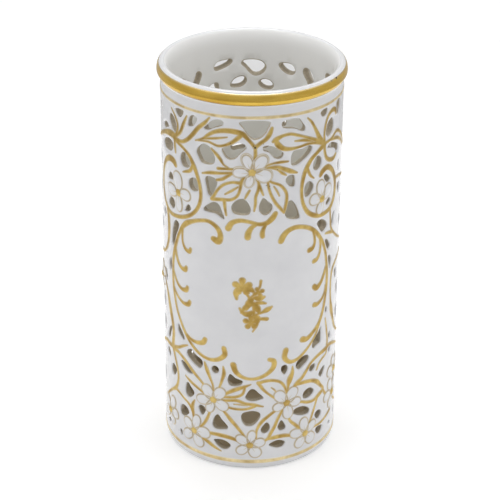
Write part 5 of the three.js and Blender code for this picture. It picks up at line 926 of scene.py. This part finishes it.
def half_wall(pile, openings, hand):
    """Half the wall: the front, or with a hand of -1 the back, drawn as seen straight through."""
    outlines = [spline(drawn, HOLE_STEP, closed=True)[:, :2] for drawn in openings]
    lips = OUTER_LIP + INNER_LIP
    rings = [[opening_ring(o, outward(o), *lip) for lip in lips] for o in outlines]
    place = np.array([1, hand, 1])
    starts = []
    for level, radius, step, kind in ((0, WALL_RADIUS, GRID, 0), (-1, INNER_RADIUS, INNER_GRID, 1)):
        points, triangles, firsts = skin([ring[level] for ring in rings], step)
        starts.append([pile.count + first for first in firsts])
        pile.add(on_wall(points, radius) * place, triangles, kind)
    for ring, before, last in zip(rings, *starts):
        n = len(ring[0])
        for k in range(1, len(lips)):
            after = last
            if k < len(lips) - 1:
                after = pile.count
                pile.add(on_wall(ring[k], WALL_RADIUS - lips[k][1]) * place, [])
            pile.faces.extend([(before + i, after + i, after + j, before + j) for i, j in pairs(n, True)])
            # The cut sides and the inner rounding take the brown painted shade
            pile.kinds.extend([0 if k < len(OUTER_LIP) else 2] * n)
            before = after


def close_seams(obj):
    """Joins the wall's two halves and closes its top and bottom edges."""
    work = bmesh.new()
    work.from_mesh(obj.data)
    bmesh.ops.remove_doubles(work, verts=[v for v in work.verts if v.is_boundary], dist=SAME_PLACE)
    open_edges = [e for e in work.edges if e.is_boundary]
    for low in (WALL_BOTTOM * MM, WALL_TOP * MM):
        level = [e for e in open_edges if all(abs(v.co.z - low) < SAME_PLACE for v in e.verts)]
        bmesh.ops.bridge_loops(work, edges=level)
    bmesh.ops.recalc_face_normals(work, faces=work.faces)
    work.to_mesh(obj.data)
    work.free()
    soften(obj.data)


def wall():
    """The pierced wall with soft edges at every opening, glazed outside and with brown painted shade on
    their cut sides.
    """
    pile = Pile()
    half_wall(pile, OPENINGS + FRONT_OPENINGS, 1)
    half_wall(pile, OPENINGS + BACK_OPENINGS, -1)
    obj = pile.build("wall_porcelain", [PORCELAIN, INSIDE_PAINTED_SHADE, CUT_SIDES_SHADE])
    close_seams(obj)
    return obj


# Brush strokes

def bare_wall(flat):
    """No height over the wall at flat points."""
    return np.zeros(len(flat))


def depth_in(points, lines):
    """How far points lie inside the joined shape of all the strokes."""
    deepest = np.full(len(points), -np.inf)
    for line, closed in lines:
        a, b = (line, np.roll(line, -1, axis=0)) if closed else (line[:-1], line[1:])
        near = near_to(points, line[:, :2], STROKE_REACH)
        if len(near):
            away, share = to_segments(points[near], a[:, :2], b[:, :2])
            width = a[:, 2] + share * (b - a)[:, 2]
            deepest[near] = np.maximum(deepest[near], (width / 2 - away).max(1))
    return deepest


def rounded(depth):
    """Share of its full height that a stroke has at a depth in from its edge."""
    return np.sqrt(1 - (1 - np.clip(depth / STROKE_EDGE, 0, 1)) ** 2)


def strap(pile, flat, heights, bed, shares, kind, closed):
    """A closed band over rows of flat points, from its heights down to just under its bed."""
    n, m = flat.shape[:2]
    heights, bed, shares = (np.reshape(values, (n, m)) for values in (heights, bed, shares))
    ends = [-1, 0]
    points = np.concatenate([flat, flat[:, ends]], 1)
    radius = WALL_RADIUS + np.concatenate([heights, bed[:, ends] - SUNK], 1)
    faces = grid_faces(n, m + 2, closed, True)
    if not closed:
        faces.append(range(m + 2))
        faces.append(range(n * (m + 2) - 1, (n - 1) * (m + 2) - 1, -1))
    pile.add(on_wall(points, radius), faces, kind, np.pad(shares, ((0, 0), (0, 2))))


def ribbon(pile, line, closed, lines, height, kind, layer, ground):
    """One raised stroke, soft at its edges and round at open ends, that joins its neighbours."""
    centre, half = line[:, :2], line[:, 2] / 2
    if closed:
        along = np.roll(centre, -1, axis=0) - np.roll(centre, 1, axis=0)
    else:
        along = np.gradient(centre, axis=0)
    along /= np.linalg.norm(along, axis=1)[:, None]
    if not closed:
        caps = np.radians(CAP_TURNS)
        reach = np.sin(caps)[:, None]
        head = centre[0] - along[0] * half[0] * reach
        tail = centre[-1] + along[-1] * half[-1] * reach
        centre = np.vstack([head, centre, tail[::-1]])
        first, last = (np.maximum(end * np.cos(caps), NARROWEST) for end in half[[0, -1]])
        half = np.concatenate([first, half, last[::-1]])
        along = np.pad(along, ((len(caps), len(caps)), (0, 0)), mode="edge")
    side = np.column_stack([-along[:, 1], along[:, 0]])
    flat = centre[:, None] + side[:, None] * np.outer(half, ACROSS)[..., None]
    places = flat.reshape(-1, 2)
    depth = np.maximum(depth_in(places, lines), 0)
    bed = ground(places)
    strap(pile, flat, bed + height * rounded(depth) + layer, bed, np.clip(depth / STROKE_FADE, 0, 1),
          kind, closed)


def ribbons(pile, lines, height, kind, ground=bare_wall):
    """Raised strokes that run into each other, each a hair above the last."""
    for number, (line, closed) in enumerate(lines):
        ribbon(pile, line, closed, lines, height, kind, LAYER * (number % LAYERS), ground)


def speck(pile, round_at, radius, up, tilt, reach):
    """A tiny dark dome fired into the gold, where the surface leans in by tilt from upright."""
    angle = round_at / WALL_RADIUS
    level = np.array([math.cos(angle), math.sin(angle), 0])
    out = np.array([math.sin(angle), -math.cos(angle), 0])
    upright = np.array([0, 0, 1])
    rise = upright * math.cos(tilt) - out * math.sin(tilt)
    normal = out * math.cos(tilt) + upright * math.sin(tilt)
    turns = circle(SPECK_STEPS)[:, None]
    ring = np.cos(turns) * level + np.sin(turns) * rise
    middle = out * radius + upright * up
    rings = [middle + normal * lift + reach * share * ring for share, lift in SPECK_RINGS]
    pile.add_stack([points * MM for points in rings], 1)


def gilding(name, strokes, specks):
    """Brush strokes of gold, a little wider than drawn for their soft edges."""
    pile = Pile()
    spread = [0, 0, STROKE_SPREAD]
    ribbons(pile, [(spline(s, STROKE_STEP) + spread, False) for s in strokes], STROKE_HEIGHT, 0)
    for round_at, up, reach in specks:
        speck(pile, round_at, WALL_RADIUS + STROKE_HEIGHT, up, 0.0, reach)
    return pile.build(name, [GILT, SPECK])


def blossom_lines(at_round, at_up, radius, petals):
    """Short fat strokes that make a small gold blossom."""
    ends = ((BLOSSOM_HEART, BLOSSOM_STEM_WIDTH), (radius - BLOSSOM_TIP, BLOSSOM_FULL * radius))
    return [[[at_round + reach * math.cos(angle), at_up + reach * math.sin(angle), width]
             for reach, width in ends]
            for angle in 2 * math.pi * (np.arange(petals) + BLOSSOM_TURN) / petals]


# Relief flowers

def petal_half(width, along):
    """A petal's half width, which grows a little towards its tip."""
    return width / 2 * (PETAL_MIDDLE + PETAL_GAIN * along)


def placed(at, degrees, x, y):
    """Flat points turned by some degrees and moved to a place."""
    turn = math.radians(degrees)
    return np.column_stack([at[0] + x * math.cos(turn) - y * math.sin(turn),
                            at[1] + x * math.sin(turn) + y * math.cos(turn)])


def petal_ring(at, petal, share, count):
    """A petal's flat outline, drawn in to a share of its size."""
    degrees, length, width = petal
    across, along = share * np.sin(circle(count)), share * np.cos(circle(count))
    return placed(at, degrees, length / 2 * (1 + along), petal_half(width, along) * across)


def dome(share, height):
    """A petal's height at a share of the way from its middle to its edge."""
    return height * np.sqrt(1 - np.clip(share, 0, 1) ** PETAL_ROUND)


def flower_ground(at, petals, height):
    """A function that gives the petals' height over the wall at flat points."""
    def ground(flat):
        heights = [bare_wall(flat)]
        for degrees, length, width in petals:
            x, y = placed((0, 0), -degrees, *(flat - at).T).T
            along = x / (length / 2) - 1
            across = y / np.maximum(petal_half(width, along), 1e-3)
            heights.append(dome(np.hypot(along, across), height))
        return np.max(heights, 0)
    return ground


def mound(pile, ring, shares, rise, kind, layer=0.0):
    """A dome on the wall, from functions of a share of its reach: its flat ring and its rise."""
    levels = [(1.0, -SUNK)] + [(share, rise(share) + layer) for share in shares]
    pile.add_stack([on_wall(ring(share), WALL_RADIUS + up) for share, up in levels], kind)


def flower(name, at, petals, height, outline_width, eye_radius):
    """Domed petals with painted outlines and veins, and a raised eye."""
    pile = Pile()
    for number, petal in enumerate(petals):
        mound(pile, lambda share: petal_ring(at, petal, share, PETAL_STEPS), PETAL_SHARES,
              lambda share: dome(share, height), 0, LAYER * number)
    ground = flower_ground(at, petals, height)
    outlines = [(np.insert(petal_ring(at, petal, 1.0, OUTLINE_STEPS), 2, outline_width, 1), True)
                for petal in petals]
    ribbons(pile, outlines, OUTLINE_HEIGHT, 1, ground)
    veins = []
    for degrees, length, _ in petals:
        x = np.array([eye_radius * VEIN_START, length * VEIN_MIDDLE, length * VEIN_END])
        flat = placed(at, degrees + VEIN_TURN, x, np.array([0.0, VEIN_BEND, 0.0]))
        veins.append((spline(np.column_stack([flat, VEIN_WIDTHS]), STROKE_STEP), False))
    ribbons(pile, veins, VEIN_HEIGHT, 1, ground)
    turns = circle(EYE_STEPS)
    reach = eye_radius * (1 + EYE_LOBE * np.sin(EYE_LOBES * turns))
    rise = EYE_RISE + height * EYE_SEAT
    mound(pile, lambda share: placed(at, 0, share * reach * np.cos(turns), share * reach * np.sin(turns)),
          EYE_SHARES, lambda share: rise * (1 - share ** EYE_ROUND) ** EYE_SQUARE, 2)
    return pile.build(name, [PETAL, LINE_PAINT, EYE_GOLD])


# Rim, lines, foot and floor

RIM_CREST = WALL_RADIUS + RIM_BULGE - RIM_CREST_ROUND
RIM_SHOULDER = WALL_TOP + RIM_WIDEST
# Steps of the flare that still take the rim's outside glaze, before the inside's painted shade begins
FLARE_OUTSIDE_STEPS = 6


def rim_side(share, lift=0.0):
    """The rim's outside, swelling from the wall to the roll's widest place."""
    swell = share * share * (3 - 2 * share)
    return [WALL_RADIUS + RIM_BULGE * swell + lift, WALL_TOP + RIM_WIDEST * share]


def rim_turn(degrees, lift=0.0):
    """The round from the widest place up to the crest."""
    angle = math.radians(degrees)
    return [RIM_CREST + (RIM_CREST_ROUND + lift) * math.cos(angle),
            RIM_SHOULDER + (RIM_HEIGHT - RIM_WIDEST + lift) * math.sin(angle)]


def rim_flare(degrees):
    """The soft flare from the crest down to the inside of the wall."""
    angle = math.radians(degrees)
    return [RIM_CREST - (RIM_CREST - INNER_RADIUS) * math.sin(angle),
            WALL_TOP + RIM_HEIGHT * math.cos(angle)]


def rim():
    """The rolled rim, flared inside."""
    outside = [rim_side(s) for s in np.linspace(0, 1, RIM_SIDE_STEPS, endpoint=False)]
    outside += [rim_turn(d) for d in np.linspace(0, 90, RIM_TURN_STEPS, endpoint=False)]
    flare = [rim_flare(d) for d in np.linspace(0, 90, RIM_FLARE_STEPS + 1)]
    kinds = [0] * (len(outside) + FLARE_OUTSIDE_STEPS) + [1] * (len(flare) - FLARE_OUTSIDE_STEPS)
    return turned("rim_porcelain", outside + flare, [PORCELAIN, INSIDE_PAINTED_SHADE], kinds)


def band():
    """The burnished gold round the rim, with two dark specks."""
    start = BAND_START / RIM_WIDEST
    places = [(rim_side, s) for s in np.linspace(start, 1, BAND_SIDE_STEPS, endpoint=False)]
    places += [(rim_turn, d) for d in np.linspace(0, BAND_TURN, BAND_TURN_STEPS + 1)]
    across = np.linspace(0, 1, len(places))
    lifts = BAND_BED + BAND_LIFT * np.sqrt(1 - np.abs(2 * across - 1) ** BAND_SQUARE)
    outside = [point(value, lift) for (point, value), lift in zip(places, lifts)]
    inside = [point(value, -SUNK) for point, value in places]
    low, high = BAND_LOW_SHARE + BAND_LOW_FADE * across, BAND_HIGH_FADE * (1 - across)
    share = np.minimum(1, np.minimum(low, high))
    pile = Pile()
    pile.add(*lathe(outside + inside[::-1]), 0, np.tile([*share, *share[::-1]], RING_STEPS))
    for round_at, degrees, reach in BAND_SPECKS:
        speck(pile, round_at, *rim_turn(degrees, BAND_LIFT), math.radians(degrees * BAND_LEAN), reach)
    return pile.build("rim_gilding", [BURNISHED, SPECK])


def wobble(waves, turns, phase):
    """What waves round the vase add up to."""
    return sum(size * np.sin(turns * count + phase * shift) for size, count, shift in waves)


def painted_line(name, up, line_width, phase):
    """A hand drawn gold line round the wall, that thickens and thins a little."""
    turns = np.linspace(-math.pi, math.pi, LINE_STEPS, endpoint=False)[:, None]
    half = (line_width + wobble(LINE_SWELL, turns, phase)) / 2
    place = up + wobble(LINE_SWAY, turns, phase) + ACROSS * half
    flat = np.stack(np.broadcast_arrays(turns * WALL_RADIUS, place), -1)
    depth = (1 - np.abs(ACROSS)) * half
    pile = Pile()
    strap(pile, flat, LINE_HEIGHT * rounded(depth), 0 * depth, np.clip(depth / LINE_FADE, 0, 1), 0, True)
    return pile.build(name, [THIN_GILT])


def foot():
    """Foot ring: glazed outside, drawn in softly from the wall, with a bare rounded tread."""
    side = [[FOOT_RADIUS - 1.1, 0.0], [FOOT_RADIUS - 0.6, 0.1], [FOOT_RADIUS - 0.22, 0.42],
            [FOOT_RADIUS, 0.95], [FOOT_RADIUS + 0.25, 1.6], [WALL_RADIUS - 0.02, WALL_BOTTOM + 0.02]]
    back = [[FOOT_INNER, WALL_BOTTOM], [FOOT_INNER, 0.7], [FOOT_INNER + 0.3, 0.2], [FOOT_INNER + 0.9, 0.0]]
    kinds = [1] + [0] * (len(side) - 2) + [1] * (len(back) + 1)
    return turned("foot_porcelain", side + back, [PORCELAIN, BARE], kinds)


def floor_disc():
    """The bottom, dished a little where it meets the wall inside."""
    low, edge, centre = WALL_BOTTOM + 0.1, INNER_RADIUS + 0.1, 0.01
    under = [[centre, low], [FOOT_INNER, low], [edge, low]]
    top = [[edge, FLOOR_TOP + 2.0], [29.2, FLOOR_TOP + 0.9], [28.2, FLOOR_TOP + 0.25], [26.5, FLOOR_TOP],
           [centre, FLOOR_TOP]]
    kinds = [0] * (len(under) - 1) + [1] * (len(top) + 1)
    return turned("floor_porcelain", under + top, [PORCELAIN, INSIDE_PAINTED_SHADE], kinds)


# Assembly

def stands_for(obj, slot_name, *nodes):
    """Parents a piece to the body that it rides on and hides the solids that it replaces. slot_name is not
    used.
    """
    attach(obj, "root")
    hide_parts(*nodes)


stands_for(wall(), "glazed_porcelain", "pierced_wall")
stands_for(rim(), "glazed_porcelain", "rim_roll")
stands_for(band(), "burnished_gold", "rim_gold_band")
stands_for(painted_line("collar_line", COLLAR_LINE, COLLAR_WIDTH, 0.4), "gilding", "collar_gold_line")
stands_for(painted_line("foot_line", FOOT_LINE, FOOT_LINE_WIDTH, 2.1), "gilding", "foot_gold_line")
stands_for(foot(), "bare_foot", "foot_ring")
stands_for(floor_disc(), "glazed_porcelain", "base_floor")

BLOSSOM_STROKES = [stroke for blossom in SPRIG_BLOSSOMS for stroke in blossom_lines(*blossom)]
GILDED = {
    "frame_left": FRAME_LEFT,
    "frame_right": FRAME_RIGHT,
    "frame_top": FRAME_TOP,
    "frame_bottom": FRAME_BOTTOM,
    "crown": CROWN + VEINS,
    "left_vine": LEFT_VINE,
    "right_vine": RIGHT_VINE,
    "side_scroll": SIDE_SCROLL,
    "lower_left": LOWER_LEFT,
    "lower_right": LOWER_RIGHT,
    "sprig": SPRIG + SPRIG_LEAVES + BLOSSOM_STROKES,
}


def both_sides(front, slot_name, front_node):
    """Places a piece on the front and its mirror image straight behind it on the back."""
    back = front.copy()
    back.name = front.name.replace("front_", "back_")
    back.data = front.data.copy()
    back.data.transform(Matrix.Scale(-1, 4, (0, 1, 0)))
    back.data.flip_normals()
    show(back)
    stands_for(front, slot_name, front_node)
    stands_for(back, slot_name, front_node.replace("front_", "back_"))


for group, strokes in GILDED.items():
    specks = CROWN_SPECKS if group == "crown" else ()
    both_sides(gilding(f"front_{group}_gilt", strokes, specks), "gilding", f"front_{group}_gilding")
for flower_name, (at, petals) in FLOWERS.items():
    if flower_name == "top_flower":
        sizes = (TOP_PETAL_HEIGHT, TOP_OUTLINE_WIDTH, TOP_EYE_RADIUS)
    else:
        sizes = (PETAL_HEIGHT, OUTLINE_WIDTH, EYE_RADIUS)
    piece = flower(f"front_{flower_name}_petals", at, petals, *sizes)
    both_sides(piece, "flower_porcelain", f"front_{flower_name}")


# Floor, light and camera

# Places and reaches in metres, and glows as a strength of light
SKY = 0.46
FLOOR_REACH = 2.5
FLOOR_GLOW = 0.32
FAR_GLOW = 1.0
NEAR_FLOOR = 0.45
FAR_FLOOR = 1.6
SHADE_AT = (0.0, 0.365, 0.0)
SHADE_REACH = (0.05, 0.083, 1.0)
SHADE_FULL = 0.4
CARD_RADIUS = 0.3
CARD_HEIGHT = 0.37
CARD_COLUMNS = 73
CARD_ROWS = 15
# The card's glow at degrees round from the front, and at shares of its height where that is more
CARD_ROUND = ((30, 60, 180), (0.54, 0.56, 0.58))
CARD_FADE = ((0.7, 1), (0.5, 1))
LAMPS_AIM = (0, 0, 0.08)
CAMERA_AT = (-0.00035, -0.56306, 0.36216)
# In degrees, and the lens in mm for a picture 36 mm wide
CAMERA_PITCH = 26.96
CAMERA_ROLL = 0.36
LENS = 122.4
SENSOR = 36.0


def plain(name, colour, roughness):
    """A paint with hardly any clouds in it."""
    paint = Paint(name, colour, roughness)
    tone = [c * 0.985 for c in colour]
    paint.coat({"Base Color": paint.ramp(paint.noise(30.0, 4.0), (0.3, tone), (0.7, colour))})
    return paint


def pale_floor():
    """A pale floor, with a painted soft shadow behind the vase that shows through its back openings."""
    paint = plain("pale_floor", (0.86, 0.86, 0.86), 0.7)
    place = paint.place()
    # Painted shadow: the floor's glow falls away in a soft patch behind the vase
    by_shade = paint.add("Mapping", "Vector", {"Vector": place, "Location": SHADE_AT, "Scale": SHADE_REACH},
                         vector_type="TEXTURE")
    shade = paint.add("TexGradient", "Fac", {"Vector": by_shade}, gradient_type="SPHERICAL")
    away = paint.add("VectorMath", "Value", {0: place}, operation="LENGTH")
    open_floor = paint.span(away, FLOOR_GLOW, FAR_GLOW, NEAR_FLOOR, FAR_FLOOR)
    lit = paint.span(shade, open_floor, 0.0, end=SHADE_FULL)
    glow = paint.reckon("MULTIPLY", paint.rays(("Camera", "Glossy")), lit)
    material = paint.coat({"Emission Color": WHITE, "Emission Strength": glow})
    corners = [(x * FLOOR_REACH, y * FLOOR_REACH, 0) for x, y in ((-1, -1), (1, -1), (1, 1), (-1, 1))]
    solid("floor", corners, [(0, 1, 2, 3)], [material], soft=False)


def sky():
    """White to the camera and in reflections, and softer as a light."""
    world = bpy.data.worlds.new("studio")
    bpy.context.scene.world = world
    world.use_nodes = True
    world.node_tree.nodes.clear()
    nodes = Nodes(world.node_tree)
    soft, white = (nodes.add("Background", "Background", {"Color": WHITE, "Strength": strength})
                   for strength in (SKY, 1.0))
    seen = nodes.rays(("Camera", "Transmission", "Glossy"))
    mixed = nodes.add("MixShader", "Shader", {"Fac": seen, 1: soft, 2: white})
    nodes.set(world.node_tree.nodes.new("ShaderNodeOutputWorld"), {"Surface": mixed})


def painted_reflection_card():
    """A glowing grey screen all round the vase that only shows in the gold and glaze, as a painted
    reflection that darkens them.

    It is a little lighter towards the back, and fades to white at its top.
    """
    paint = plain("painted_reflection_card", (0.02, 0.02, 0.02), 0.9)
    share = paint.add("Attribute", "Fac", attribute_name="share")
    material = paint.coat({"Emission Color": WHITE, "Emission Strength": share})
    turns = np.linspace(-180, 180, CARD_COLUMNS)
    rows = np.linspace(0, CARD_HEIGHT, CARD_ROWS)
    across = np.interp(abs(turns), *CARD_ROUND)
    up = np.interp(rows / CARD_HEIGHT, *CARD_FADE)
    points = [(CARD_RADIUS * math.sin(a), -CARD_RADIUS * math.cos(a), z)
              for a in np.radians(turns) for z in rows]
    # Painted reflection: this sheet is seen by glossy rays alone
    obj = solid("painted_reflection_card", points, grid_faces(len(turns), len(rows)), [material],
                shares=np.maximum(across[:, None], up), soft=False)
    obj.visible_camera = False
    obj.visible_diffuse = False
    obj.visible_shadow = False


def lamp(name, place, width, height, power):
    """A rectangular light that looks at the vase."""
    data = bpy.data.lights.new(name, "AREA")
    data.shape = "RECTANGLE"
    data.size = width
    data.size_y = height
    data.energy = power
    obj = show(bpy.data.objects.new(name, data))
    obj.location = place
    obj.rotation_euler = (Vector(LAMPS_AIM) - Vector(place)).to_track_quat("-Z", "Y").to_euler()


def shot():
    """The camera, pitched down and rolled a little."""
    data = bpy.data.cameras.new("camera")
    data.lens = LENS
    data.sensor_width = SENSOR
    data.clip_start = 0.01
    camera = show(bpy.data.objects.new("camera", data))
    pitch = math.radians(CAMERA_PITCH)
    roll = math.radians(CAMERA_ROLL)
    right = Vector((1, 0, 0))
    upward = Vector((0, math.sin(pitch), math.cos(pitch)))
    forward = Vector((0, math.cos(pitch), -math.sin(pitch)))
    x_axis = math.cos(roll) * right + math.sin(roll) * upward
    y_axis = -math.sin(roll) * right + math.cos(roll) * upward
    turn = Matrix((x_axis, y_axis, -forward)).transposed()
    camera.matrix_world = Matrix.Translation(CAMERA_AT) @ turn.to_4x4()
    bpy.context.scene.camera = camera


pale_floor()
sky()
painted_reflection_card()
lamp("left_softbox", (-0.75, -0.35, 0.45), 0.5, 0.7, 1.25)
lamp("right_softbox", (0.75, -0.35, 0.45), 0.5, 0.7, 1.25)
lamp("top_softbox", (0, 0.1, 0.95), 0.6, 0.6, 3.5)
shot()
bpy.context.scene.view_settings.view_transform = "Standard"
